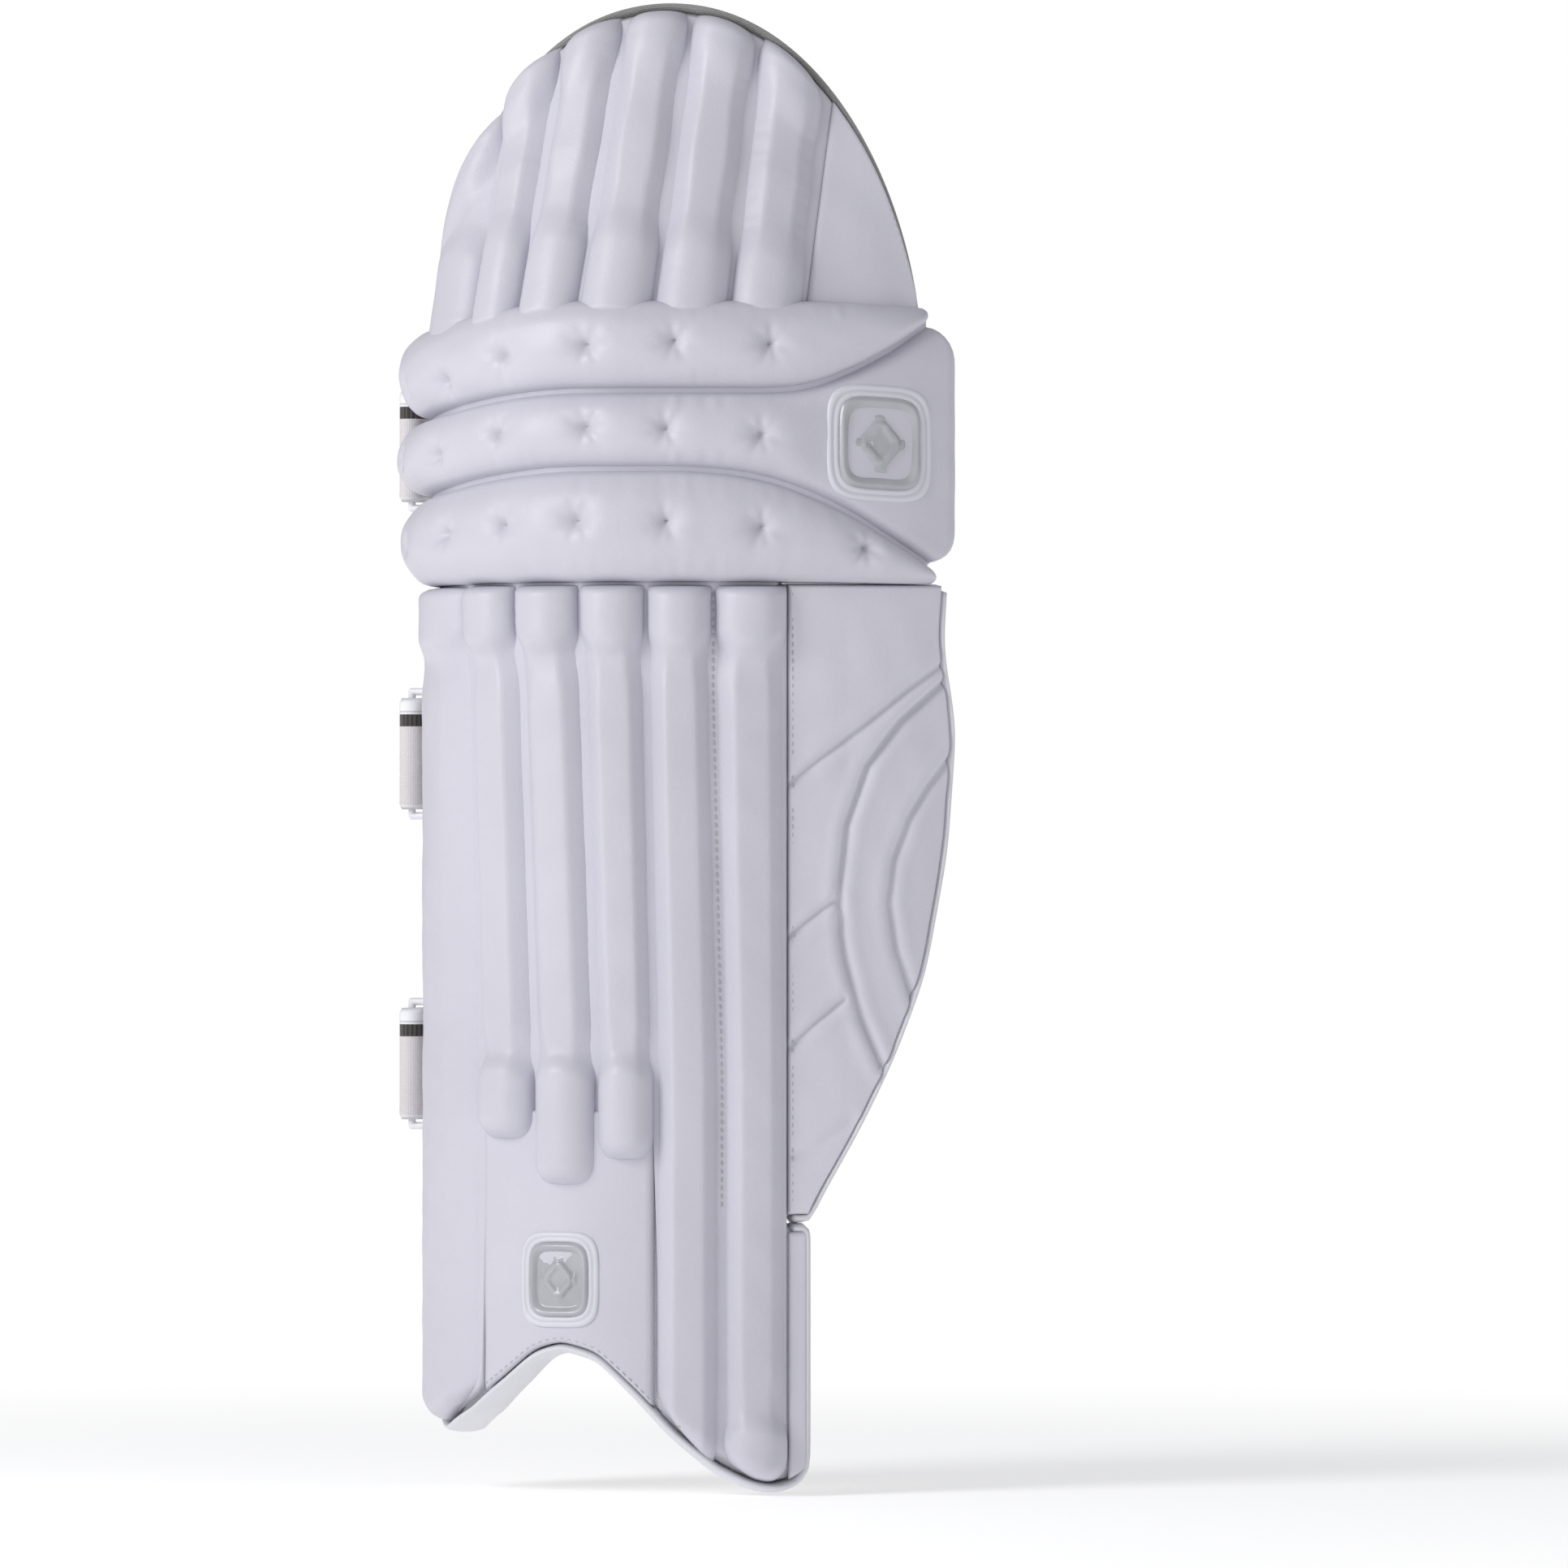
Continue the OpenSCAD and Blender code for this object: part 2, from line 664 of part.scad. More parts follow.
shin_backing();
shin_roll_1();
shin_roll_2();
shin_roll_3();
shin_roll_4();
shin_roll_5();
shin_roll_6();
shin_canes();
shin_lining();
shin_binding();
instep_panel();
instep_badge_frame();
instep_badge();
inner_bolster();
outer_bolster();
mesh_bolster();
ankle_bolster();
instep_bolster();
calf_ring_tab();
ankle_ring_tab();
calf_strap_anchor();
ankle_strap_anchor();
calf_strap();
ankle_strap();
calf_strap_patch();
side_wing();
wing_binding();
wing_lining();
side_tab();
knee_backing();
knee_roll_top();
knee_roll_middle();
knee_roll_bottom();
knee_badge_frame();
knee_badge();
knee_cup();
knee_tufts();
knee_ring_tab();
knee_strap_anchor();
knee_strap();
hat_backing();
hat_roll_1();
hat_roll_2();
hat_roll_3();
hat_roll_4();
hat_roll_5();
hat_roll_6();
hat_canes();
hat_side_panel();
hat_lining();
hat_binding();
hat_badge();
knee_ring();
calf_ring();
ankle_ring();
knee_strap_tail();
calf_strap_tail();
ankle_strap_tail();
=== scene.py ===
import math

import bmesh
import bpy
import numpy as np
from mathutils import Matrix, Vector


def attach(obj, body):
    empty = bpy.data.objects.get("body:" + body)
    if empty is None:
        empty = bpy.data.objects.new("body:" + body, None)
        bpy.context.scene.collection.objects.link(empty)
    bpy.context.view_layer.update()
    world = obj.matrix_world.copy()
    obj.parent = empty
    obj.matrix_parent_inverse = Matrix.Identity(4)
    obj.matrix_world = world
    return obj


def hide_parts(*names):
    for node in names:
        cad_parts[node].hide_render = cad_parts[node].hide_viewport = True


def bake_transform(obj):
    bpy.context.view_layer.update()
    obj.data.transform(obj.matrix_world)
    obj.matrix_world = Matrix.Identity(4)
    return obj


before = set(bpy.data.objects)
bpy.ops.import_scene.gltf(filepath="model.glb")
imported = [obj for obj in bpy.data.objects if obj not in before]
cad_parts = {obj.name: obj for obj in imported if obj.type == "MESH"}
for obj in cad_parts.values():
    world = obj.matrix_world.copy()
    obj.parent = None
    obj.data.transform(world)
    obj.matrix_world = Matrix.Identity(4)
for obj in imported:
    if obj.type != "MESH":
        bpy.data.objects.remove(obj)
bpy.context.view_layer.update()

# ---------------------------------------------------------------- the shell
# The pad's face is two arcs seen from above, in millimetres. Every soft piece is laid out flat,
# s along the face from the front of the instep, z up and h out of the face, and then bent round it.
MM = 0.001
FRONT_R = 105.0
SIDE_R = 240.0
MEET = math.radians(20)
MEET_S = FRONT_R * MEET
SIDE_X = -(SIDE_R - FRONT_R) * math.sin(MEET)
SIDE_Y = (SIDE_R - FRONT_R) * math.cos(MEET)
LEAN = math.radians(17)
KNEE_LOW = 444.0
HAT_LOW = 582.0
HAT_SPAN = 146 / math.cos(LEAN) + 2
DOME_MID = 43.05
DOME_LEFT = 142.0
DOME_RIGHT = 138.0


def s_of(angle):
    return np.where(angle < 20, FRONT_R * np.radians(angle), MEET_S + SIDE_R * np.radians(angle - 20))


def angle_of(s):
    return np.where(s < MEET_S, s / FRONT_R, MEET + (s - MEET_S) / SIDE_R)


def bend(s, z, h):
    """Flat layout to the pad's real place, in millimetres."""
    s, z, h = np.broadcast_arrays(np.asarray(s, float), np.asarray(z, float), np.asarray(h, float))
    a = angle_of(s)
    side = s >= MEET_S
    x = np.where(side, SIDE_X + (SIDE_R + h) * np.sin(a), (FRONT_R + h) * np.sin(a))
    y = np.where(side, SIDE_Y - (SIDE_R + h) * np.cos(a), -(FRONT_R + h) * np.cos(a))
    return np.stack([x, y, z], axis=-1)


def lean_back(p):
    y = p[..., 1] + FRONT_R
    z = p[..., 2] - HAT_LOW
    out = p.copy()
    out[..., 1] = -FRONT_R + y * math.cos(LEAN) + z * math.sin(LEAN)
    out[..., 2] = HAT_LOW - y * math.sin(LEAN) + z * math.cos(LEAN)
    return out


def hat_bend(s, w, h):
    return lean_back(bend(s, HAT_LOW + w, h))


def knee_bend(s, z, h):
    """The knee section dips towards its strap side, more so above its lowest roll."""
    p = bend(s, z, h)
    drop = 12.5 * ease(-np.asarray(s, float), -12, 122) + 3.0 * ease(np.asarray(s, float), 110, 190)
    p[..., 2] -= drop * (0.10 + 0.90 * ease(p[..., 2], KNEE_LOW - 2, KNEE_LOW + 56))
    return p


def const(value):
    """An edge or level that stays the same along the piece."""
    return lambda _: value


def ease(x, a, b):
    t = np.clip((x - a) / (b - a), 0, 1)
    return t * t * (3 - 2 * t)


def curve(xs, ys, soft):
    """A smooth curve through points, rounded over a distance."""
    grid = np.linspace(xs[0] - 40, xs[-1] + 40, 1200)
    base = np.interp(grid, xs, ys)
    step = grid[1] - grid[0]
    n = max(int(3 * soft / step), 1)
    k = np.exp(-0.5 * (np.arange(-n, n + 1) * step / soft) ** 2)
    k /= k.sum()
    smooth = np.convolve(np.pad(base, n, mode="edge"), k, mode="valid")
    return lambda x: np.interp(x, grid, smooth)


foot_line = curve(
    [float(s_of(a)) for a in (-66, -60, -51, -33, -19, -9, -1, 9, 20, 24, 29, 33, 36, 38.5, 40.6)],
    [40, 32, 27, 38, 53, 66, 70, 65, 46, 28, 11, 3, 1, 4, 13],
    3.5,
)
wing_line = curve(
    [133, 181, 213, 253, 313, 373, 413, 444],
    [float(s_of(a)) + 3.0 for a in (39.2, 46, 50, 54, 57, 58.2, 56.4, 57)],
    9,
)
top_roll_low = curve([-130, 96, 112, 125, 141, 160, 178, 190], [537, 537, 538, 541.5, 548.8, 560, 573, 578], 4)
low_roll_top = curve([-130, 60, 84, 102, 122, 141, 170, 190], [499, 499, 497, 493, 485.5, 477, 459, 446], 5)


def dome(s):
    c = np.where(s > DOME_MID, (s - DOME_MID) / DOME_RIGHT, (DOME_MID - s) / DOME_LEFT)
    p = np.where(s > DOME_MID, 0.7, 0.575)
    return HAT_SPAN * np.power(np.clip(1 - c * c, 0, 1), p)


def hat_floor(s):
    """Where the leaning top hat meets a level just under the top of the knee rolls."""
    y = bend(s, 0, 0)[..., 1] + FRONT_R
    return (-11 + y * math.sin(LEAN)) / math.cos(LEAN)


def ripple(s, z, seed, size=1.0):
    """Small soft unevenness of a stuffed skin."""
    r = np.random.RandomState(seed)
    total = 0
    for i in range(9):
        a = r.uniform(0, 2 * math.pi)
        length = r.uniform(16, 60) * size
        k = 2 * math.pi / length
        total = total + np.sin(k * (s * math.cos(a) + z * math.sin(a)) + r.uniform(0, 6.3)) * r.uniform(0.4, 1)
    return total / 5


# ---------------------------------------------------------------- making pieces
def finish_mesh(name, bm):
    mesh = bpy.data.meshes.new(name)
    bm.to_mesh(mesh)
    bm.free()
    for poly in mesh.polygons:
        poly.use_smooth = True
    obj = bpy.data.objects.new(name, mesh)
    bpy.context.scene.collection.objects.link(obj)
    return obj


def fit_piece(name, bm, material, body, stands_for=()):
    """Makes the object, gives it its finish, joins it to its body and hides the nodes it stands for."""
    obj = finish_mesh(name, bm)
    obj.data.materials.append(material)
    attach(obj, body)
    if stands_for:
        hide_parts(*stands_for)
    return obj


def put(bm, made, centre, way):
    """Turns a made shape from upright to a direction and moves it to its centre."""
    turn = Vector((0, 0, 1)).rotation_difference(way.normalized()).to_matrix().to_4x4()
    bmesh.ops.transform(bm, matrix=turn, verts=made["verts"])
    bmesh.ops.translate(bm, vec=centre, verts=made["verts"])


def closed_form(name, across, along, form, material, slot, body, stands_for=(), fill=None):
    """A closed form drawn from a grid. form(t, v) gives each point's place, its cloth coordinates and
    its painted shade, darker at seams, tufts and hollows where shade falls; t runs right round the section and v along
    the piece."""
    bm = bmesh.new()
    bmesh.ops.create_grid(bm, x_segments=across, y_segments=along, size=0.5)
    bm.verts.ensure_lookup_table()
    flat = np.array([v.co[:2] for v in bm.verts]) + 0.5
    place, cloth, seam = form(flat[:, 0], flat[:, 1])
    uv_layer = bm.loops.layers.uv.new("Cloth")
    # painted shade: a per-vertex darkening at seams, tufts and hollows, stored for the finishes to darken their colour
    shade = bm.verts.layers.float.new("seam")
    place, cloth = place * MM, cloth * 0.01
    for i, vert in enumerate(bm.verts):
        vert.co = place[i]
        vert[shade] = float(seam[i])
    for face in bm.faces:
        for loop in face.loops:
            loop[uv_layer].uv = cloth[loop.vert.index]
    bmesh.ops.remove_doubles(bm, verts=bm.verts, dist=2e-5)
    bmesh.ops.dissolve_degenerate(bm, edges=bm.edges, dist=1e-6)
    bmesh.ops.recalc_face_normals(bm, faces=bm.faces)
    obj = fit_piece(name, bm, material, body, stands_for)
    return obj


def skin(name, across, along, form, *rest, **more):
    """A closed soft form with a face and a back. form(a, v, front) has a across the piece; the back
    runs from edge to edge under the front."""

    def both_sides(t, v):
        front = t <= 0.5
        return form(np.where(front, 2 * t, 2 - 2 * t), v, front)

    return closed_form(name, across, along, both_sides, *rest, **more)


def tube(name, path, out, radius, rise, bender, material, slot, body, stands_for=(), around=14):
    """A bound edge or piping: an oval section carried along a flat path of (s, z, h) rows."""
    path = np.asarray(path, float)
    out = np.asarray(out, float)
    steps = len(path) - 1
    run = np.concatenate([[0], np.cumsum(np.linalg.norm(np.diff(path[:, :2], axis=0), axis=1))])

    def form(a, v, front):
        at = v * steps
        col = [np.interp(at, np.arange(steps + 1), path[:, k]) for k in range(3)]
        side = [np.interp(at, np.arange(steps + 1), out[:, k]) for k in range(2)]
        turn = np.where(front, a, 2 - a) * math.pi
        end = np.minimum(v, 1 - v) * run[-1]
        close = np.sqrt(np.clip(1 - (1 - np.clip(end / radius, 0, 1)) ** 2, 0, 1))
        c = np.cos(turn) * radius * close
        d = np.sin(turn) * rise * close
        place = bender(col[0] + side[0] * c, col[1] + side[1] * c, col[2] + d)
        length = np.interp(at, np.arange(steps + 1), run)
        return place, np.stack([length, turn * radius], axis=-1), np.zeros_like(a)

    return skin(name, around, len(path) - 1, form, material, slot, body, stands_for)


def outward(path, side=1):
    """Unit directions square to a flat path."""
    d = np.gradient(np.asarray(path)[:, :2], axis=0)
    d /= np.linalg.norm(d, axis=1)[:, None] + 1e-9
    return np.stack([d[:, 1], -d[:, 0]], axis=-1) * side


def stitches(name, rows, material, body, stands_for=(), pitch=4.0, length=2.6, thick=0.42):
    """Rows of short thread stitches. Each row is a list of places in millimetres."""
    bm = bmesh.new()
    for row in rows:
        row = np.asarray(row, float)
        step = np.linalg.norm(np.diff(row, axis=0), axis=1)
        run = np.concatenate([[0], np.cumsum(step)])
        count = int(run[-1] / pitch)
        for i in range(count):
            mid = (i + 0.5) * run[-1] / count
            p = np.array([np.interp(mid, run, row[:, k]) for k in range(3)])
            q = np.array([np.interp(mid + 0.5, run, row[:, k]) for k in range(3)])
            way = Vector(q - p)
            if way.length < 1e-6:
                continue
            made = bmesh.ops.create_uvsphere(bm, u_segments=6, v_segments=4, radius=1.0)
            bmesh.ops.scale(bm, vec=(thick * MM, thick * MM, length * 0.0005), verts=made["verts"])
            put(bm, made, p * MM, way)
    return fit_piece(name, bm, material, body, stands_for)


# ---------------------------------------------------------------- finishes
class Finish:
    """A node material, with short helpers for its textures, mixes and bumps."""

    def __init__(self, name):
        self.material = bpy.data.materials.new(name)
        self.material.use_nodes = True
        self.nodes = self.material.node_tree.nodes
        self.links = self.material.node_tree.links
        self.shader = self.nodes["Principled BSDF"]

    def node(self, kind, inputs=None, **values):
        made = self.nodes.new("ShaderNode" + kind)
        for key, value in values.items():
            setattr(made, key, value)
        for key, value in (inputs or {}).items():
            self.feed(value, made.inputs[key])
        return made

    def feed(self, value, socket):
        """Links an output to a socket, or sets a plain value on it."""
        if hasattr(value, "is_output"):
            self.links.new(value, socket)
        else:
            socket.default_value = value

    def place(self):
        return self.node("TexCoord").outputs["Object"]

    def noise(self, scale, detail, distortion=0.0):
        values = {"Vector": self.place(), "Scale": scale, "Detail": detail, "Distortion": distortion}
        return self.node("TexNoise", values).outputs["Fac"]

    def cloth(self):
        """The piece's own cloth coordinates: along, then across."""
        return self.node("SeparateXYZ", {0: self.node("UVMap", uv_map="Cloth").outputs[0]}).outputs

    # reads the painted shade stored on each piece: darker at seams, tufts and hollows where shade falls
    def seam(self):
        return self.node("Attribute", attribute_name="seam").outputs["Fac"]

    def mix(self, low, high, factor):
        low = low if hasattr(low, "is_output") else (*low, 1)
        return self.node("Mix", {6: low, 7: (*high, 1), 0: factor}, data_type="RGBA").outputs[2]

    def ramp(self, value, low, high, out_low=0.0, out_high=1.0):
        return self.node("MapRange", {0: value, 1: low, 2: high, 3: out_low, 4: out_high}).outputs[0]

    def maths(self, op, a, b=None):
        inputs = {0: a} if b is None else {0: a, 1: b}
        return self.node("Math", inputs, operation=op).outputs[0]

    def bump(self, height, strength, distance, below=None):
        inputs = {"Strength": strength, "Distance": distance, "Height": height}
        if below is not None:
            inputs["Normal"] = below
        return self.node("Bump", inputs).outputs[0]

    def done(self, tone, rough, normal, **plain):
        """Joins colour, roughness and bump to the shader and sets its plain values."""
        self.links.new(tone, self.shader.inputs["Base Color"])
        self.links.new(rough, self.shader.inputs["Roughness"])
        self.links.new(normal, self.shader.inputs["Normal"])
        for key, value in plain.items():
            self.shader.inputs[SHADER_SOCKETS[key]].default_value = value
        return self.material


SHADER_SOCKETS = {"specular": "Specular IOR Level", "coat": "Coat Weight", "coat_rough": "Coat Roughness",
                  "sheen": "Sheen Weight", "sheen_rough": "Sheen Roughness"}


def darker(colour, share):
    return tuple(c * share for c in colour)


def coated_leather(name, colour, shade, rough=0.42, grain=1.0, seam_shade=(0.52, 0.52, 0.56)):
    """White coated leather: fine pebble grain, soft creases, slight scuffs and painted shade greying the seams."""
    f = Finish(name)
    pebble = f.node("TexVoronoi", {"Vector": f.place(), "Scale": 950}, feature="F1").outputs["Distance"]
    pores, crease, cloud = f.noise(420, 6), f.noise(46, 5, 1.2), f.noise(9, 3)
    tone = f.mix(colour, shade, f.ramp(cloud, 0.35, 0.7, 0, 0.8))
    tone = f.mix(tone, (0.60, 0.60, 0.63), f.ramp(crease, 0.62, 0.78, 0, 0.22))
    # painted shade: greyer at seams, tufts and hollows where shade falls
    tone = f.mix(tone, seam_shade, f.seam())
    first = f.bump(crease, 0.25, 0.0011)
    second = f.bump(pores, 0.16 * grain, 0.0003, first)
    return f.done(tone, f.ramp(crease, 0.3, 0.75, rough - 0.05, rough + 0.1),
                  f.bump(pebble, 0.22 * grain, 0.00025, second), specular=0.42, coat=0.06, coat_rough=0.35)


def woven(name, colour, shade, pitch, rough=0.75, sheen=0.25, depth=0.00025, diagonal=False, strength=0.5):
    """Woven cloth or tape on the piece's own cloth coordinates; pitch in millimetres."""
    f = Finish(name)
    cloth = f.cloth()
    k = 2 * math.pi / (pitch * 0.01)
    across, along = f.maths("MULTIPLY", cloth[0], k), f.maths("MULTIPLY", cloth[1], k)
    if diagonal:
        across, along = f.maths("ADD", across, along), f.maths("SUBTRACT", along, across)
    weave = f.maths("MULTIPLY", f.maths("SINE", across), f.maths("SINE", along))
    noise = f.noise(14, 5)
    tone = f.mix(colour, shade, f.ramp(noise, 0.35, 0.7))
    tone = f.mix(tone, darker(shade, 0.72), f.ramp(weave, -1, -0.2, 0.35, 0))
    # painted shade: darker at edges and hollows where shade falls
    tone = f.mix(tone, darker(shade, 0.6), f.seam())
    return f.done(tone, f.ramp(noise, 0.3, 0.7, rough - 0.05, rough + 0.07), f.bump(weave, strength, depth),
                  sheen=sheen, sheen_rough=0.4)


def pin_mesh(name, colour, hole, pitch, rough=0.8):
    """Soft knit with rows of pin holes, on the piece's own cloth coordinates."""
    f = Finish(name)
    cloth = f.cloth()
    k = math.pi / (pitch * 0.01)
    x, y = f.maths("MULTIPLY", cloth[0], k), f.maths("MULTIPLY", cloth[1], k)
    p = f.maths("COSINE", f.maths("ADD", x, y))
    q = f.maths("COSINE", f.maths("SUBTRACT", x, y))
    pin = f.ramp(f.maths("ABSOLUTE", f.maths("MULTIPLY", p, q)), 0.72, 0.92)
    noise = f.noise(18, 4)
    tone = f.mix(colour, darker(colour, 0.93), f.ramp(noise, 0.35, 0.7))
    tone = f.mix(tone, hole, f.maths("MULTIPLY", pin, 0.75))
    # painted shade: darker at edges and hollows where shade falls
    tone = f.mix(tone, darker(colour, 0.6), f.seam())
    return f.done(tone, f.ramp(noise, 0.3, 0.7, rough - 0.06, rough + 0.06),
                  f.bump(f.maths("SUBTRACT", 1.0, pin), 0.55, 0.0005), sheen=0.3)


def strap_cloth(name, half=27.5):
    """Strap face: plain white selvedge, a black ribbed stripe with a light tack line, then fine mesh."""
    f = Finish(name)
    cloth = f.cloth()
    along, across = f.maths("MULTIPLY", cloth[0], 100.0), f.maths("MULTIPLY", cloth[1], 100.0)
    x = f.maths("MULTIPLY", along, 2 * math.pi / 1.5)
    y = f.maths("MULTIPLY", across, 2 * math.pi / 1.5)
    p = f.maths("SINE", f.maths("ADD", x, y))
    q = f.maths("SINE", f.maths("SUBTRACT", x, y))
    weave = f.maths("MULTIPLY", p, q)
    rib = f.maths("SINE", f.maths("MULTIPLY", along, 2 * math.pi / 1.9))

    def between(low, high):
        return f.maths("MULTIPLY", f.maths("GREATER_THAN", across, low), f.maths("LESS_THAN", across, high))

    stripe = between(half - 14, half - 8)
    plain = f.maths("GREATER_THAN", across, half - 8)
    tack = between(half - 7.2, half - 6.2)
    lower = f.maths("LESS_THAN", across, -half + 2.2)
    noise = f.noise(16, 5)
    tone = f.mix((0.80, 0.76, 0.78), (0.73, 0.69, 0.71), f.ramp(noise, 0.35, 0.7))
    tone = f.mix(tone, (0.50, 0.47, 0.49), f.ramp(weave, -1, -0.25, 0.6, 0))
    tone = f.mix(tone, (0.83, 0.83, 0.86), f.maths("MAXIMUM", plain, lower))
    tone = f.mix(tone, (0.62, 0.62, 0.64), tack)
    tone = f.mix(tone, (0.035, 0.03, 0.028), stripe)
    tone = f.mix(tone, (0.10, 0.095, 0.09), f.maths("MULTIPLY", stripe, f.ramp(rib, 0.2, 1, 0, 0.7)))
    open_face = f.maths("SUBTRACT", 1.0, f.maths("MAXIMUM", stripe, plain))
    height = f.maths("ADD", f.maths("MULTIPLY", rib, stripe), f.maths("MULTIPLY", weave, open_face))
    return f.done(tone, f.ramp(noise, 0.3, 0.7, 0.68, 0.82), f.bump(height, 0.6, 0.0003), sheen=0.2)


def moulded(name, colour, rough, coat=0.0, flow=60, depth=0.0002, wear=0.12):
    """Moulded plastic or rubbery plate: faint flow lines, dust in the surface and light wear."""
    f = Finish(name)
    noise, fine = f.noise(flow, 6), f.noise(900, 3)
    tone = f.mix(colour, darker(colour, 1 - wear), f.ramp(noise, 0.4, 0.7))
    gloss = {"coat": coat, "coat_rough": 0.08} if coat else {}
    return f.done(tone, f.ramp(noise, 0.3, 0.75, rough - 0.04, rough + 0.08),
                  f.bump(fine, 0.18, depth, f.bump(noise, 0.12, 0.0004)), **gloss)


def split_cane(name):
    f = Finish(name)
    stretch = f.node("Mapping", {"Vector": f.place(), "Scale": (400, 400, 14)}).outputs[0]
    grain = f.node("TexNoise", {"Vector": stretch, "Scale": 1.0, "Detail": 6}).outputs["Fac"]
    tone = f.mix((0.60, 0.42, 0.20), (0.36, 0.22, 0.09), f.ramp(grain, 0.35, 0.7))
    return f.done(tone, f.ramp(grain, 0.3, 0.7, 0.42, 0.6), f.bump(grain, 0.3, 0.0003))


WHITE = (0.598, 0.589, 0.660)
SHADE = (0.550, 0.541, 0.609)
roll_leather = coated_leather("roll leather", WHITE, SHADE)
panel_leather = coated_leather("panel leather", (0.675, 0.665, 0.74), (0.62, 0.61, 0.68), rough=0.46)
frame_leather = coated_leather("badge frame leather", (0.68, 0.68, 0.74), (0.62, 0.62, 0.68), rough=0.34, grain=0.5)
core_cloth = woven("core cloth", (0.76, 0.76, 0.80), (0.70, 0.70, 0.74), 1.4, sheen=0.1)
lining_satin = woven("quilt satin", (0.80, 0.765, 0.70), (0.74, 0.70, 0.62), 0.9, rough=0.5, sheen=0.5, strength=0.25)
bolster_satin = woven("bolster satin", (0.82, 0.81, 0.82), (0.77, 0.76, 0.77), 0.9, rough=0.48, sheen=0.4, strength=0.2)
bolster_mesh = pin_mesh("pin hole mesh", (0.80, 0.745, 0.77), (0.42, 0.37, 0.39), 3.2)
binding_tape = woven("binding tape", (0.43, 0.425, 0.42), (0.34, 0.335, 0.32), 1.3, rough=0.62, sheen=0.3,
                     depth=0.0004, diagonal=True, strength=0.8)
white_piping = coated_leather("white piping", (0.70, 0.695, 0.74), (0.64, 0.635, 0.68), rough=0.4)
strap_face = strap_cloth("strap face")
strap_satin = woven("hook end satin", (0.86, 0.86, 0.885), (0.81, 0.81, 0.84), 0.8, rough=0.42, sheen=0.3,
                    strength=0.25)
black_tape = woven("black webbing", (0.05, 0.045, 0.042), (0.03, 0.027, 0.025), 1.8, rough=0.7, sheen=0.2,
                   depth=0.0006, strength=0.9)
tab_tape = woven("side tab tape", (0.60, 0.575, 0.47), (0.52, 0.49, 0.39), 1.2, rough=0.65, depth=0.0004, strength=0.7)
patch_plate = coated_leather("strap patch", (0.60, 0.55, 0.55), (0.53, 0.48, 0.48), rough=0.36, grain=0.6,
                             seam_shade=(0.36, 0.33, 0.33))
badge_clear = moulded("badge moulding", (0.44, 0.45, 0.48), 0.20, coat=0.35)
ring_plastic = moulded("ring plastic", (0.80, 0.80, 0.83), 0.36, wear=0.07)
cane_wood = split_cane("split cane")
grey_thread = woven("grey thread", (0.50, 0.50, 0.53), (0.42, 0.42, 0.45), 0.5, rough=0.7)


# ---------------------------------------------------------------- shapes of the soft pieces
def spread(a, k):
    """Packs grid lines towards both ends."""
    return (1 - k) * a + k * (3 * a * a - 2 * a * a * a)


def rounded(d, r):
    return np.sqrt(np.clip(1 - (1 - np.clip(d / r, 0, 1)) ** 2, 0, 1))


